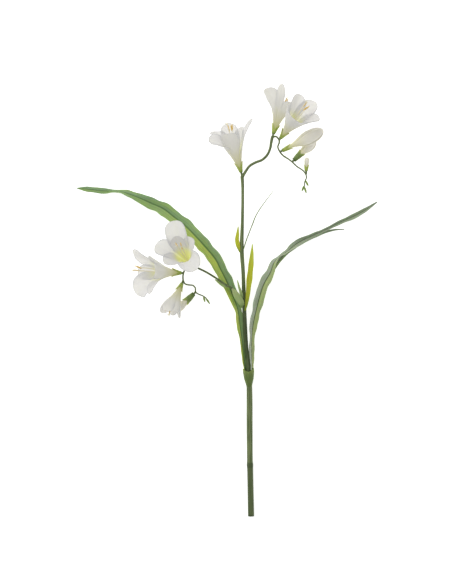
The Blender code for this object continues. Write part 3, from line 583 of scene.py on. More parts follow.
def blade_grid(rows, columns, step, fold=LEAF_FOLD, wave=0.0, along_scale=0.01):
    """Rows of a folded strip through (x, y, z, half width, roll in degrees)."""
    lines = through(rows, step)
    middle = [Vector(line[:3]) for line in lines]
    grid = []
    travelled = 0.0
    for i, (centre, ahead, line) in enumerate(zip(middle, tangents(middle), lines)):
        uneven = 1.0 + sum(size * swing(travelled, length) for size, length in LEAF_UNEVEN)
        half_width, roll = max(line[3] * uneven, 0.25), radians(line[4])
        if i:
            travelled += (centre - middle[i - 1]).length
        level = UP.cross(ahead).normalized()
        above = ahead.cross(level)
        side = level * cos(roll) + above * sin(roll)
        face = above * cos(roll) - level * sin(roll)
        share = min(1.0, half_width / 3.0)
        row = []
        for k in range(columns + 1):
            u = 2.0 * k / columns - 1.0
            frill = LEAF_FRILL * abs(u) ** 3 * swing(travelled, LEAF_FRILL_LENGTH, 2.0 * u)
            ripple = wave * (u * abs(u) * swing(travelled, LEAF_WAVE_LENGTH) + frill)
            rise = fold * half_width * sqrt(u * u + 0.004) + ripple * share
            point = centre + side * u * half_width + face * rise
            on_table(point, LEAF_THICKNESS / 2.0)
            row.append((point, k / columns, travelled * along_scale))
        grid.append(row)
    return grid


def leaf(name, rows, skin, **shape):
    grid = blade_grid(rows, columns=14, step=2.0, **shape)
    belongs(skins(name + "_blade", [grid], LEAF_THICKNESS, [skin]), "leaf", name)


leaf("left_leaf", LEFT_LEAF, left_leaf_skin, wave=LEAF_WAVE)
leaf("right_leaf", RIGHT_LEAF, right_leaf_skin, wave=LEAF_WAVE)
leaf("narrow_leaf", NARROW_LEAF, right_leaf_skin, fold=0.1)

# %% [markdown]
# ## Stalk
#
# The stalk, its bend, the side branch and the short stems of the flowers are all round rods
# along a path, so one Geometry Nodes tree makes them all. Its input is a plain line of
# points, with the radius as an attribute. The tree turns the lines into curves and runs a
# circle along them, and the attribute goes into the Scale of Curve to Mesh.


# %% A Geometry Nodes tree for round stems
def stem_tree():
    tree = bpy.data.node_groups.new("round stem", "GeometryNodeTree")
    for name, kind in (("Lines", "Geometry"), ("Sides", "Int"), ("Finish", "Material")):
        tree.interface.new_socket(name, in_out="INPUT", socket_type="NodeSocket" + kind)
    tree.interface.new_socket("Stem", in_out="OUTPUT", socket_type="NodeSocketGeometry")
    bench = Bench(tree)
    given = tree.nodes.new("NodeGroupInput").outputs
    lines, sides, finish = [Wire(bench, given[name]) for name in ("Lines", "Sides", "Finish")]
    wanted = {"Name": "thickness"}
    thickness = bench.node("GeometryNodeInputNamedAttribute", {"data_type": "FLOAT"}, wanted)
    curve = bench.node("GeometryNodeMeshToCurve", None, {"Mesh": lines})
    round_one = {"Resolution": sides, "Radius": 1.0}
    circle = bench.node("GeometryNodeCurvePrimitiveCircle", None, round_one)
    swept = {"Curve": curve, "Profile Curve": circle, "Scale": thickness, "Fill Caps": True}
    tube = bench.node("GeometryNodeCurveToMesh", None, swept)
    smooth = bench.node("GeometryNodeSetShadeSmooth", None, {"Geometry": tube})
    real = bench.node("GeometryNodeRealizeInstances", None, {"Geometry": smooth})
    dressed = bench.node("GeometryNodeSetMaterial", None, {"Geometry": real, "Material": finish})
    end = tree.nodes.new("NodeGroupOutput")
    tree.links.new(dressed.socket, end.inputs["Stem"])
    return tree


STEM_TREE = stem_tree()
STEM_SOCKETS = STEM_TREE.interface.items_tree


def stems(name, lines, sides, finish, step=1.5):
    """Round rods along rows of (x, y, z, radius), in millimetres."""
    bm = bmesh.new()
    layer = bm.verts.layers.float.new("thickness")
    for rows in lines:
        before = None
        for x, y, z, radius in through(rows, step):
            corner = bm.verts.new(Vector((x, y, z)) * MM)
            corner[layer] = radius * MM
            if before:
                bm.edges.new((before, corner))
            before = corner
    piece = add_piece(name, bm)
    modifier = piece.modifiers.new("stem", "NODES")
    modifier.node_group = STEM_TREE
    modifier[STEM_SOCKETS["Sides"].identifier] = sides
    modifier[STEM_SOCKETS["Finish"].identifier] = finish
    return plain(piece)


print("stem tree nodes:", len(STEM_TREE.nodes))

# %% The paths of the stalk
STALK = [
    (24, -216.5, 3.15, 3.1), (23, -168, 3.2, 3), (22.9, -165, 3.3, 3.25),
    (22.8, -161, 3.4, 2.9), (22.5, -130, 4.1, 3), (22.3, -90, 5.6, 2.9), (21.4, -71, 6.4, 2.3),
    (19, -45, 7.6, 2.1), (17.5, -18, 8.8, 2.1), (16.7, 6, 9.9, 2), (16, 28, 11.1, 1.9),
    (14.5, 52, 12.4, 2.1), (15.2, 80, 14, 1.6), (15.5, 110, 16, 1.5), (14.9, 124.5, 17, 1.8),
]
UPPER_AXIS = [
    (14.9, 123, 17, 1.6), (18, 128.4, 17, 1.4), (22.4, 134.4, 17, 1.3), (28.5, 138, 17, 1.3),
    (34.8, 140.5, 17, 1.3), (40.2, 145.8, 17, 1.3), (43, 152.5, 17, 1.3), (44, 158.5, 17, 1.4),
    (45.2, 163.8, 17, 1.6),
]
UPPER_ZIGZAG = [
    (45, 163, 16.8, 1.1), (48.5, 164, 16, 0.9), (51.9, 160.5, 15, 0.9),
    (51.8, 157.3, 14.7, 0.8), (50.5, 154, 14.5, 0.8), (52.5, 149, 14.5, 0.8),
    (56, 144.8, 14.2, 0.8), (60.5, 142, 13.7, 0.75), (64.9, 138.7, 13, 0.75),
    (70, 134, 12, 0.7), (75.5, 130.5, 11, 0.7), (78.7, 126.5, 9.8, 0.7), (79.4, 123, 8.8, 0.65),
    (77.8, 119.5, 8, 0.6), (77.2, 114, 7, 0.6),
]
SIDE_BRANCH = [
    (16.6, -3, 9.4, 1.4), (12.5, 4.5, 11.6, 1.2), (5.9, 11.5, 13.6, 1.1), (-2.7, 17, 14.5, 1),
    (-11.8, 23, 14, 1), (-20.5, 28.3, 13, 1), (-27.1, 31.6, 12, 1), (-33.5, 34, 11, 1),
    (-39.5, 34, 10, 0.95), (-42.7, 30.5, 9.3, 0.9), (-44.2, 25.5, 9, 0.85),
    (-44, 20.2, 9, 0.85), (-42.2, 16.9, 9, 0.8), (-38.5, 15.8, 9, 0.75), (-34.3, 15.3, 9, 0.75),
    (-31.9, 12.7, 9, 0.75), (-31.6, 8.7, 9, 0.75), (-28.5, 6.5, 8.7, 0.65),
    (-24.1, 4.7, 8.3, 0.6), (-21, 2.5, 8, 0.6),
]
TIP_BUDS = [
    ((78.3, 120.6, 8.2), (81.4, 114.7, 7.5), 1.05),
    ((77.2, 115.4, 7.2), (74.7, 109.5, 6.5), 1.05),
    ((77.2, 114.6, 7), (79.4, 107.5, 6.5), 1.05), ((-23.8, 4.6, 8.3), (-22.2, -1.8, 7.5), 1),
    ((-21.6, 3, 8.1), (-17.3, -3.5, 7.5), 1),
]
print("stalk length about", round(sum(distances(STALK))), "mm")

# %% [markdown]
# ## Flowers
#
# A freesia flower is a funnel of six petals, joined below and free above, with the outer
# three over the inner three. Each petal here is one piece from the foot of the tube to its
# tip: below, it follows the funnel, and above, it leans out, narrows and waves. That way no
# ring shows where the tube ends and the petals begin.

# %% The shape of the funnel and the petals
FUNNEL_OUTSIDE = [(1.1, 1.1), (6.0, 2.1), (12.0, 3.8), (18.0, 5.8), (24.0, 8.5)]
FUNNEL_INSIDE_FLOOR = 8.0
FUNNEL_WALL = 0.9
TUBE_ROWS = 12
TUBE_FOOT = 1.2
TUBE_FOOT_SLOPE = 10.0
TUBE_HALF_ANGLE = 0.62
TEPAL_COLUMNS = 14
TEPAL_ROWS = 24
TEPAL_THICKNESS = 0.4
TEPAL_ROOT_HEIGHT = 21.0
TEPAL_ROOT_SLOPE = 24.0
TEPAL_ROOT_SHARE = 0.2
TEPAL_SHIFT = 0.25
TEPAL_WIDEST = 0.6
TEPAL_ROOT_WIDTH = 0.55
TEPAL_PARTED = 0.24
TEPAL_ROLLED = 0.6
TEPAL_RUFFLE = 0.9
TEPAL_RUFFLE_TURNS = 1.4
TEPAL_FRILL = 0.28
TEPAL_FRILL_TURNS = 4.2
TEPAL_CREASE = 1.4
TEPAL_CREASE_WIDTH = 0.22
TEPAL_UNEVEN = 0.55
SEAT_GAP = 0.3
TUBE_OUTSIDE = table_value(FUNNEL_OUTSIDE, TEPAL_ROOT_HEIGHT)
TUBE_RADIUS = TUBE_OUTSIDE - FUNNEL_WALL / 2.0


class Record:
    """Values under the names in parts. Those that aren't given are as the class has them."""

    def __init__(self, *values, **named):
        self.__dict__.update(zip(self.parts, values), **named)


class Tepal(Record):
    """One petal: turn round the axis, length, half width, lean, cupping, ruffle and roll."""

    parts = "turn length half_width lean cup ruffle roll".split()
    ruffle = 1.0
    roll = 0.0


class Flower(Record):
    """A flower: where it stands, the way it points, and rows for its two rings of petals."""

    parts = "name node aim".split()
    size = 1.0
    bract = 11.0
    cover = 0.45
    stamen = 1.0
    pedicel = 2.2


print(f"petals leave the tube {TUBE_RADIUS:.1f} mm from its axis")

# %% The top flowers
FLOWERS = [
    Flower(
        "top_left",
        (14.9, 124.5, 17),
        (-0.27, 0.95, 0.14),
        outer=[(346, 24, 10.8, 28, 11, 0.3), (232, 30, 10, 40, 12), (124, 24, 8.6, 18, 11)],
        inner=[(292, 27, 9, 76, 13, 1, -50), (180, 31, 10, 27, 13), (84, 34, 4.6, 50, 9, 0.4, 28)],
        stamen=1.24,
        pedicel=3.2,
    ),
    Flower(
        "top_back",
        (45.2, 163.8, 17),
        (0.28, 0.94, -0.18),
        outer=[(300, 26, 8.4, 66, 13, 1, 30), (40, 14, 7, 12, 9, 0.4), (160, 22, 8.6, 34, 12)],
        inner=[(340, 29, 4.8, 16, 9, 0.6), (100, 16, 7, 12, 9, 0.4), (224, 24, 8.4, 44, 12)],
    ),
    Flower(
        "top_right",
        (51.9, 160.5, 15),
        (0.48, 0.64, 0.60),
        outer=[(346, 18, 9.8, 26, 10, 0.6), (98, 26, 10, 46, 12), (214, 27, 9.6, 30, 11)],
        inner=[(290, 18, 8.6, 22, 10, 0.6), (44, 18, 8.6, 30, 10), (160, 29, 9.8, 38, 12)],
        stamen=1.26,
    ),
    Flower(
        "side_upper",
        (-36.5, 34, 10.5),
        (-0.25, 0.40, 0.88),
        outer=[(162, 35, 11.8, 74, 18), (228, 29, 10, 82, 20), (6, 37, 12.6, 86, 19)],
        inner=[(98, 20, 9, 46, 12), (284, 23, 9.8, 60, 13), (172, 20, 8.4, 30, 10)],
        stamen=1.18,
    ),
    Flower(
        "side_lower",
        (-43.6, 27.6, 9.1),
        (-0.86, 0.05, 0.50),
        outer=[(132, 34, 5.8, 58, 14), (246, 31, 13.4, 74, 19, 1, -20), (2, 18, 9.4, 24, 11)],
        inner=[(188, 22, 9, 40, 12), (296, 29, 3.8, 74, 10, 1, -50), (72, 20, 8.8, 30, 12)],
        stamen=1.34,
    ),
]
print("wide open flowers:", len(FLOWERS))

# %% The half open flower
HALF_OPEN = Flower(
    "side_half_open",
    (-44, 20.2, 9),
    (-0.39, -0.90, 0.21),
    outer=[(20, 20, 7, 16, 7.6, 0.6), (140, 20, 7, 10, 7.6, 0.6), (262, 19, 7, 18, 7.6, 0.6)],
    inner=[(80, 17, 6.4, 6, 7, 0.6), (200, 17, 6.4, 6, 7, 0.6), (322, 16, 6.4, 6, 7, 0.6)],
    size=0.88,
    bract=9.0,
    stamen=0.82,
)
OPEN_FLOWERS = [*FLOWERS, HALF_OPEN]
print("flowers:", ", ".join(flower.name for flower in OPEN_FLOWERS))


# %% Where flowers and buds stand
def standing(foot, aim):
    """A place whose Z runs along the aim and whose X points as near to the sky as it can."""
    aim = Vector(aim).normalized()
    sky = (UP - aim * UP.dot(aim)).normalized()
    turn = Matrix((sky, aim.cross(sky), aim)).transposed()
    return Matrix.Translation(foot) @ turn.to_4x4()


def seat(plant, past=0.0):
    """The foot of a flower or bud: past its short stem by a small gap, and maybe more."""
    way = plant.pedicel + SEAT_GAP + past
    return Vector(plant.node) + Vector(plant.aim).normalized() * way


def placed(plant):
    return standing(seat(plant), plant.aim)


print("foot of the first flower:", seat(FLOWERS[0]).to_tuple(1))


# %% One petal from the foot of the tube to its tip
def tube_line(tepal, share):
    """One row of a petal inside the tube, in the same form as the rows above it."""
    height = TUBE_FOOT + (TEPAL_ROOT_HEIGHT - TUBE_FOOT) * share
    radius = table_value(FUNNEL_OUTSIDE, height) - FUNNEL_WALL / 2.0
    slope = radians(TUBE_FOOT_SLOPE + (TEPAL_ROOT_SLOPE - TUBE_FOOT_SLOPE) * share)
    own = tepal.half_width * TEPAL_ROOT_WIDTH * radius / TUBE_RADIUS
    return radius, height, slope, max(own, radius * TUBE_HALF_ANGLE), max(radius, 0.4), 0.0


def petal_lines(tepal):
    """Rows along a petal: radius, height, slope, half width, cupping, share of the free part."""
    lines = [tube_line(tepal, i / TUBE_ROWS) for i in range(TUBE_ROWS)]
    radius, height, before = TUBE_RADIUS, TEPAL_ROOT_HEIGHT, 0.0
    fine = 4 * TEPAL_ROWS  # four steps to a row, so that the bend is even
    for i in range(fine + 1):
        t = 1.0 - (1.0 - i / fine) ** 1.4
        bend = smooth_step((t - TEPAL_ROOT_SHARE) / (1.0 - TEPAL_ROOT_SHARE))
        slope = radians(TEPAL_ROOT_SLOPE + (tepal.lean - TEPAL_ROOT_SLOPE) * bend)
        radius += (t - before) * tepal.length * sin(slope)
        height += (t - before) * tepal.length * cos(slope)
        before = t
        if i % 4:
            continue
        opened = sin(pi / 2.0 * min(1.0, t / TEPAL_WIDEST))
        past = max(0.0, t - TEPAL_WIDEST) / (1.0 - TEPAL_WIDEST)
        own = tepal.half_width * (TEPAL_ROOT_WIDTH + (1.0 - TEPAL_ROOT_WIDTH) * opened)
        own *= sqrt(max(0.0004, 1.0 - past**2.3))
        joined = max(0.0, TUBE_RADIUS * TUBE_HALF_ANGLE - own)
        own += joined * (1.0 - smooth_step(t / TEPAL_PARTED))
        lines.append((radius, height, slope, own, TUBE_OUTSIDE * (1.0 - t) + tepal.cup * t, t))
    return lines


print("rows in a petal:", len(petal_lines(Tepal(*HALF_OPEN.outer[0]))))


# %% Waves on a petal
def petal_grid(flower, tepal, shift, place):
    """The points of a petal. Its edges wave, and a crease runs along its middle."""
    turn = Matrix.Rotation(radians(tepal.turn), 3, "Z")
    own_noise = Vector((tepal.turn, 0.0, 0.0))
    lines = petal_lines(tepal)
    grid = []
    for i, (radius, height, slope, half_width, cup, t) in enumerate(lines):
        roll = radians(tepal.roll) * smooth_step(t / TEPAL_ROLLED)
        level, up = Vector((0.0, 1.0, 0.0)), Vector((-cos(slope), 0.0, sin(slope)))
        side = level * cos(roll) + up * sin(roll)
        inward = up * cos(roll) - level * sin(roll)
        wave = TEPAL_RUFFLE * sin(2.0 * pi * (TEPAL_RUFFLE_TURNS * t + tepal.turn / 97.0))
        frill_turns = 2.0 * pi * (TEPAL_FRILL_TURNS * t + tepal.turn / 53.0)
        row = []
        for k in range(TEPAL_COLUMNS + 1):
            u = 2.0 * k / TEPAL_COLUMNS - 1.0
            angle = u * half_width / cup
            frill = TEPAL_FRILL * sin(frill_turns + 2.5 * u) * abs(u) ** 3
            crease = max(0.0, 1.0 - abs(u) / TEPAL_CREASE_WIDTH) ** 2
            lift = cup * (1.0 - cos(angle)) - shift * min(1.0, radius / 4.0)
            lift += tepal.ruffle * t * (wave * u**2 + frill)
            lift -= TEPAL_CREASE * t * (1.0 - t) * crease
            point = Vector((radius, 0.0, height)) + side * cup * sin(angle) + inward * lift
            point = turn @ point
            point += noise.noise_vector(point * 0.11 + own_noise) * TEPAL_UNEVEN * t
            point = on_table(place @ (point * flower.size), 0.25)
            row.append((point, k / TEPAL_COLUMNS, i / (len(lines) - 1)))
        grid.append(row)
    return grid


print("points across a petal:", TEPAL_COLUMNS + 1)

# %% All the petals
for flower in OPEN_FLOWERS:
    where = placed(flower)
    whorls = ((TEPAL_SHIFT, flower.outer), (-TEPAL_SHIFT, flower.inner))
    tepals = [(Tepal(*row), shift) for shift, whorl in whorls for row in whorl]
    grids = [petal_grid(flower, tepal, shift, where) for tepal, shift in tepals]
    finishes = [petal_outside, petal_inside]
    petals = skins(flower.name + "_corolla", grids, TEPAL_THICKNESS, finishes)
    belongs(petals, "petal", flower.name + "_petals")

# %% [markdown]
# ## Buds
#
# A bud is three petals wrapped round each other, like a rolled umbrella. Their edges show
# as ridges that turn slowly round the bud. The radius of each ring falls a little behind an
# edge and steps back up at the next one, and the rings turn as they climb.

# %% The buds
CALYX_FLOOR = 0.8
BRACT_THICKNESS = 0.7
BUD_FOOT = CALYX_FLOOR + SEAT_GAP
BUD_FOOT_SHARE = 0.62
BUD_SWELL_START = 0.6
BUD_SWELL_END = 0.62
BUD_SWELL_POWER = 1.9
BUD_CLOSING_START = 0.72
BUD_CLOSING_CUT = 0.97
BUD_LOBES = 0.11
BUD_LOBES_FULL = 0.4
BUD_EDGE = 0.88
BUD_SIDES = 54


class Bud(Record):
    """A closed bud: where it stands, the way it points, its size and that of its bracts."""

    parts = "name node aim length radius bract calyx_radius cover pedicel".split()
    pedicel = 2.0


BUDS = [
    Bud("top_bud_long", (52.6, 148.6, 14.5), (0.88, 0.44, 0.16), 46, 6.9, 11, 2.5, 0.5),
    Bud("top_bud_green", (64.9, 138.7, 13), (0.70, 0.68, -0.22), 31, 5.2, 12.5, 3.1, 0.75),
    Bud("top_bud_small", (78.9, 126.5, 9.8), (0.05, 0.99, 0.12), 14, 2.5, 7, 2.2, 0.6, 2.6),
    Bud("side_bud_green", (-31.6, 8.7, 9), (-0.68, -0.66, -0.20), 27, 4.2, 13, 3.2, 0.75),
]


def bud_radius(bud, height):
    """The radius of a closed bud: slim in its bracts, then a spindle with a blunt tip."""
    neck = bud.calyx_radius - SEAT_GAP - BRACT_THICKNESS
    swell_foot = bud.bract * BUD_SWELL_START
    free = max(0.0, (height - swell_foot) / (bud.length - swell_foot))
    swell = sin(pi / 2.0 * min(1.0, free / BUD_SWELL_END)) ** BUD_SWELL_POWER
    closing = max(0.0, (height / bud.length - BUD_CLOSING_START) / (1.0 - BUD_CLOSING_START))
    foot = min(1.0, BUD_FOOT_SHARE + (1.0 - BUD_FOOT_SHARE) * height / (bud.bract * 0.5))
    return (neck + (bud.radius - neck) * swell) * sqrt(1.0 - BUD_CLOSING_CUT * closing**2) * foot


print("buds:", len(BUDS))


# %% Wrapped petals round a spindle
def wrap(phase):
    """How far a petal stands out: it falls from 1 behind its edge and steps up at the next."""
    share = phase - floor(phase)
    lowest = 1.0 - 2.0 * BUD_EDGE
    if share < BUD_EDGE:
        return 1.0 - 2.0 * share
    return lowest + (1.0 - lowest) * smooth_step((share - BUD_EDGE) / (1.0 - BUD_EDGE))


def add_bud(bud):
    def shape(step, angle):
        share = 1.0 - (1.0 - step) ** 1.5
        height = BUD_FOOT + (bud.length - BUD_FOOT) * share
        free = smooth_step((height - bud.bract * bud.cover) / (bud.length * BUD_LOBES_FULL))
        out = wrap(BUD_PETALS * angle / (2.0 * pi) + BUD_TURN * share)
        return bud_radius(bud, height) * (1.0 + BUD_LOBES * free * out), height, share

    place = placed(bud)
    bm = bmesh.new()
    layer = bm.loops.layers.uv.new("way")
    rings = add_sheet(bm, layer, round_grid(place, 44, BUD_SIDES, shape), wrap=True)
    tip = bud.length + 0.4
    for ring, height, along in ((rings[0], BUD_FOOT, 0.0), (rings[-1], tip, 1.0)):
        pole = bm.verts.new(place @ Vector((0.0, 0.0, height)) * MM)
        for k in range(BUD_SIDES):
            pair = [ring[k][0], ring[(k + 1) % BUD_SIDES][0]]
            face = bm.faces.new([*(pair if along else reversed(pair)), pole])
            face.smooth = True
            for loop in face.loops:
                loop[layer].uv = (k / BUD_SIDES, along)
    return add_piece(bud.name + "_bud", bm, [bud_skin])


for bud in BUDS:
    belongs(add_bud(bud), "bud_petal", bud.name + "_petals")

# %% [markdown]
# ## Bracts round the flowers
#
# A pair of small green bracts clasps the foot of every flower and bud. They are joined
# below and end in two points, so a cup whose rim rises and falls makes both.


# %% A cup with two points
CUP_FOOT = CALYX_FLOOR / 2.0
CUP_POINT_POWER = 1.5
CUP_BULGE = 0.25
CUP_CLEARANCE = 0.55
CUP_RIPPLE = 0.12
CUP_RIPPLES = 6.0


def cup_grid(place, radius_at, length, cover, bulge=CUP_BULGE):
    """A cup round a tube. Its rim stands between a cover's share and the full length."""

    def shape(share, angle):
        point = abs(sin(angle)) ** CUP_POINT_POWER
        rim = length * (cover + (1.0 - cover) * point)
        height = CUP_FOOT + (rim - CUP_FOOT) * share
        radius = radius_at(height) + CUP_CLEARANCE
        radius += bulge * point * smooth_step(height / length)
        radius += CUP_RIPPLE * sin(CUP_RIPPLES * angle) * share
        return radius, height, height / length

    return round_grid(place, 14, 40, shape)


def cup(plant, radius_at, green):
    grid = cup_grid(placed(plant), radius_at, plant.bract, plant.cover)
    piece = skins(plant.name + "_cup", [grid], 0.45, [green], wrap=True)
    belongs(piece, "bract", plant.name + "_bracts")


# %% All the cups
for flower in OPEN_FLOWERS:
    size = flower.size
    cup(flower, lambda height: table_value(FUNNEL_OUTSIDE, height / size) * size, light_bract)

for bud in BUDS:
    green = dark_bract if bud.cover > 0.7 else light_bract
    cup(bud, lambda height: bud_radius(bud, max(height, BUD_FOOT)), green)

# %% [markdown]
# ## Stamens
#
# Inside each flower stand three anthers on thin threads, and a style that splits at its
# tip. The threads are round stems again. An anther is a small pod with a groove along its
# front, and its yellow dust comes from very fine noise.


# %% Threads
STAMEN_SPLIT = 13.0
STAMEN_REACH = 37.0
STAMEN_ROOT_DEPTH = 2.0
COLUMN_RADIUS = 0.8
ANTHER_LENGTH = 6.5
ANTHER_FIRST_TURN = 40.0
ANTHER_TURN = 70.0
ANTHER_SPREAD = 3.6
ANTHER_LEAN = 1.0
ANTHER_RADIUS = 0.6
ANTHER_GROOVE = 0.3


def outward(degrees):
    """The level direction at an angle round a flower's axis."""
    return Vector((cos(radians(degrees)), sin(radians(degrees)), 0.0))


def stamen_lines(flower):
    """The threads in a flower's own frame, as rows of (x, y, z, radius), and the ends of its
    anthers."""
    foot = FUNNEL_INSIDE_FLOOR * flower.size + SEAT_GAP
    split = STAMEN_SPLIT * flower.size
    reach = STAMEN_REACH * flower.stamen
    lines = [[(0.0, 0.0, foot, COLUMN_RADIUS), (0.0, 0.0, split, COLUMN_RADIUS)]]
    anthers = []
    for k in range(3):
        out = outward(ANTHER_FIRST_TURN + ANTHER_TURN * k)
        low = UP * (split - STAMEN_ROOT_DEPTH) + out * 0.3
        high = UP * (reach - ANTHER_LENGTH / 2.0) + out * ANTHER_SPREAD
        bow = low.lerp(high, 0.6) + out * 0.5
        lines.append([(*low, 0.34), (*bow, 0.3), (*high, 0.26)])
        tip = UP * (reach + ANTHER_LENGTH / 2.0) + out * (ANTHER_SPREAD + ANTHER_LEAN)
        anthers.append((high - out * 0.3, tip))
    top = UP * reach + Vector((-0.6, -0.6, 3.0))
    lines.append([(0.0, 0.0, split - STAMEN_ROOT_DEPTH, 0.36), (*top, 0.3)])
    for k in range(3):
        out = outward(180.0 + 120.0 * k)
        root, bend, tip = top - UP * 0.6, top + out * 0.6 + UP * 1.6, top + out * 1.9 + UP * 3.0
        lines.append([(*root, 0.3), (*bend, 0.3), (*tip, 0.34)])
    return lines, anthers


print("threads in a flower:", len(stamen_lines(HALF_OPEN)[0]))


# %% Anthers
def anther_grid(foot, tip, place):
    """A pod with a groove along it."""
    length = (tip - foot).length

    def shape(share, angle):
        girth = ANTHER_RADIUS * max(0.05, sin(pi * share) ** 0.5)
        groove = ANTHER_GROOVE * max(0.0, cos(angle)) ** 6
        return girth * (1.0 - groove), length * share, share

    return round_grid(place @ standing(foot, tip - foot), 12, 12, shape)


for flower in OPEN_FLOWERS:
    where = placed(flower)
    lines, pods = stamen_lines(flower)
    moved = [[(*(where @ Vector(row[:3])), row[3]) for row in rows] for rows in lines]
    threads = stems(flower.name + "_threads", moved, 8, filament_skin)
    belongs(threads, "stamen", flower.name + "_stamens")
    grids = [anther_grid(foot, tip, where) for foot, tip in pods]
    anthers = skins(flower.name + "_anthers", grids, 0.1, [anther_skin], wrap=True)
    belongs(anthers, "stamen", flower.name + "_stamens")

# %% [markdown]
# ## Stalk, branches and sheath
#
# With the flowers in place, their short stems are known, and the whole stalk is drawn in
# one go. The leaves come out of a sheath round the stalk, which has the same form as the
# cups of the flowers, only larger and longer.

# %% Round stems
lines = [STALK, UPPER_AXIS, UPPER_ZIGZAG, SIDE_BRANCH]
for plant in [*OPEN_FLOWERS, *BUDS]:
    lines.append([(*plant.node, 1.15), (*seat(plant, past=0.8), 1.0)])
belongs(stems("green_stalk", lines, 20, stalk_skin), "stalk", "stalk")

# %% Tiny buds at the tips
TIP_BUD_GIRTH = ((0.0, 0.45), (0.25, 0.85), (0.5, 1.0), (0.8, 0.7), (1.0, 0.15))
lines = []
for foot, tip, radius in TIP_BUDS:
    a, b = Vector(foot), Vector(tip)
    lines.append([(*a.lerp(b, t), radius * share) for t, share in TIP_BUD_GIRTH])
belongs(stems("tip_buds", lines, 12, tip_bud_skin, step=0.5), "stalk", "stalk")

# %% The sheath
SHEATH_FOOT = Vector((22.2, -88.0, 5.7))
SHEATH_AIM = Vector((21.4, -71.5, 6.4)) - SHEATH_FOOT
SHEATH_OUTSIDE = [(0.0, 2.3), (0.25, 3.2), (0.6, 4.8), (1.0, 5.6)]
SHEATH_RADII = [(share * SHEATH_AIM.length, radius - 0.8) for share, radius in SHEATH_OUTSIDE]
grid = cup_grid(
    standing(SHEATH_FOOT, SHEATH_AIM),
    lambda height: table_value(SHEATH_RADII, height),
    SHEATH_AIM.length + 3.5,
    cover=0.85,
    bulge=0.0,
)
belongs(skins("sheath", [grid], 0.6, [sheath_skin], wrap=True), "stalk", "stalk")

# %% [markdown]
# ## Loose bracts
#
# Here and there a thin bract stands at a joint of the stalk: a long yellow one, a short
# yellow one higher up, pale ones at the side branch, and a fine thread. They are small
# leaves, so the leaf's own grid makes them.

# %% Their lines
YELLOW_BRACT = [
    (17.9, -10, 11.1, 0.8, 48), (20, 3, 12, 2.2, 34), (21.6, 18, 13, 2.8, 20),
    (23.4, 33, 13.9, 2.8, 10), (24.6, 46, 14.6, 1.7, 4), (25.2, 56.8, 15, 0.35, 0),
]
SPATHE = [
    (16.4, -7.6, 9.8, 1.2, 16), (13.8, -1.6, 12.7, 2.8, 10), (10.4, 3.8, 14.8, 3.3, 4),
    (7.6, 8.4, 15.6, 2.6, 0), (5.2, 12.2, 15.9, 0.6, 0),
]
POINTED_BRACT = [
    (15.6, 1, 10.4, 0.9, 8), (14, 7, 13.4, 1.3, 0), (11.8, 14, 15, 1.1, 0),
    (10.2, 20.5, 15.6, 0.35, 0),
]
BRANCH_BRACT = [
    (1.7, 14.2, 14, 0.8, 0), (-3, 15, 13.6, 1.5, 0), (-8, 18.2, 13, 1.3, 0),
    (-12.2, 21.2, 12.2, 0.4, 0),
]
UPPER_BRACT = [
    (12.9, 48.6, 12.6, 0.9, -40), (11.2, 55, 13, 2.1, -30), (10, 61, 13.6, 2.2, -26),
    (10.6, 67.4, 14.2, 1.6, -22), (10.9, 74.4, 14.6, 0.35, -16),
]
THREAD_BRACT = [
    (15.4, 49.4, 12.6, 1, 74), (18.8, 60.5, 13.4, 1.3, 76), (24.3, 74.8, 13.8, 1.4, 76),
    (28.1, 84.4, 13.8, 1.3, 76), (32.9, 92.5, 13.4, 1.1, 76), (38.6, 100.2, 13, 0.8, 76),
    (46.3, 110.2, 12.4, 0.4, 76),
]


def bract(name, rows, skin, slot, node):
    """A loose bract, whose finish counts along from 0 at its foot to 1 at its tip."""
    grid = blade_grid(rows, columns=10, step=1.5, along_scale=1.0 / sum(distances(rows)))
    belongs(skins(name, [grid], LEAF_THICKNESS, [skin]), slot, node)


bract("yellow_blade", YELLOW_BRACT, yellow_bract, "yellow_bract", "yellow_bract")
bract("yellow_tip", UPPER_BRACT, yellow_bract, "yellow_bract", "upper_bract")
bract("pale_spathe", SPATHE, pale_bract, "stalk", "stalk")
bract("pointed_bract", POINTED_BRACT, pale_bract, "stalk", "stalk")
bract("branch_bract", BRANCH_BRACT, pale_bract, "stalk", "stalk")
bract("thread_bract", THREAD_BRACT, grey_bract, "stalk", "stalk")

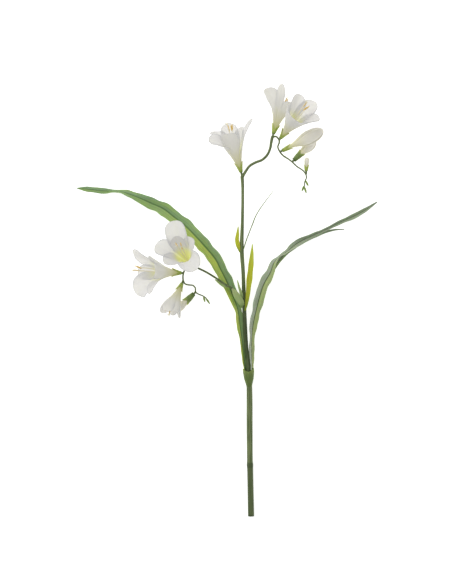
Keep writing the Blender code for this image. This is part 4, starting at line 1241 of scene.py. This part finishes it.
# %% [markdown]
# ## The table and the light
#
# The stem lies on a plain white table in even light, with almost no shadow. One wide lamp
# stands at the upper left, a weaker one at the right, and a white world fills the rest. The
# table reaches far enough that its edge stays out of the picture, also from low angles.


# %% Table
def table_finish():
    """White, with a glow of its own."""
    finish = Finish("white_table", shine=0.1, glow=0.7)
    speck = finish.grain(finish.place(), 40.0)
    colour = finish.blend(speck, (248, 248, 248), (250, 250, 250))
    return finish.done(colour, 0.9 + 0.05 * speck)


bm = bmesh.new()
bmesh.ops.create_grid(bm, x_segments=1, y_segments=1, size=6.0)
table = add_piece("table", bm, [table_finish()])
print("table:", table.dimensions[:2])


# %% Lamps and world
LAMPS = (("upper left", (-0.9, 0.9, 1.3), 14.0), ("right", (1.2, -0.2, 1.2), 3.0))

for name, spot, power in LAMPS:
    light = bpy.data.lights.new(name, "AREA")
    light.shape = "DISK"
    light.size = 1.2
    light.energy = power
    holder = stand(name, light)
    holder.location = spot
    holder.rotation_euler = (-Vector(spot)).to_track_quat("-Z", "Y").to_euler()
world = bpy.data.worlds.new("white room")
world.use_nodes = True
sky = world.node_tree.nodes["Background"].inputs
sky["Color"].default_value = (1.0, 1.0, 1.0, 1.0)
sky["Strength"].default_value = 0.42
bpy.context.scene.world = world
bpy.context.scene.view_settings.view_transform = "Standard"
print("lamps:", len(LAMPS), "and a white world")

# %% [markdown]
# ## The camera
#
# The picture shows the stem upright, with about a millimetre to each dot. Lying on the
# table, that is a view from straight above with the flowers at the top. The camera stands
# far off with a long lens, so that the near petals don't grow.

# %% Straight down
PICTURE_HEIGHT = 0.584
PICTURE_CENTRE = Vector((-0.0012, 0.0087, 0.012))
CAMERA_HEIGHT = 2.2
SENSOR_WIDTH = 36.0
camera_data = bpy.data.cameras.new("camera")
camera_data.sensor_width = SENSOR_WIDTH
camera_data.lens = SENSOR_WIDTH * CAMERA_HEIGHT / PICTURE_HEIGHT
camera = stand("camera", camera_data)
camera.location = PICTURE_CENTRE + Vector((0.0, 0.0, CAMERA_HEIGHT))
bpy.context.scene.camera = camera
print("lens:", round(camera_data.lens), "mm")
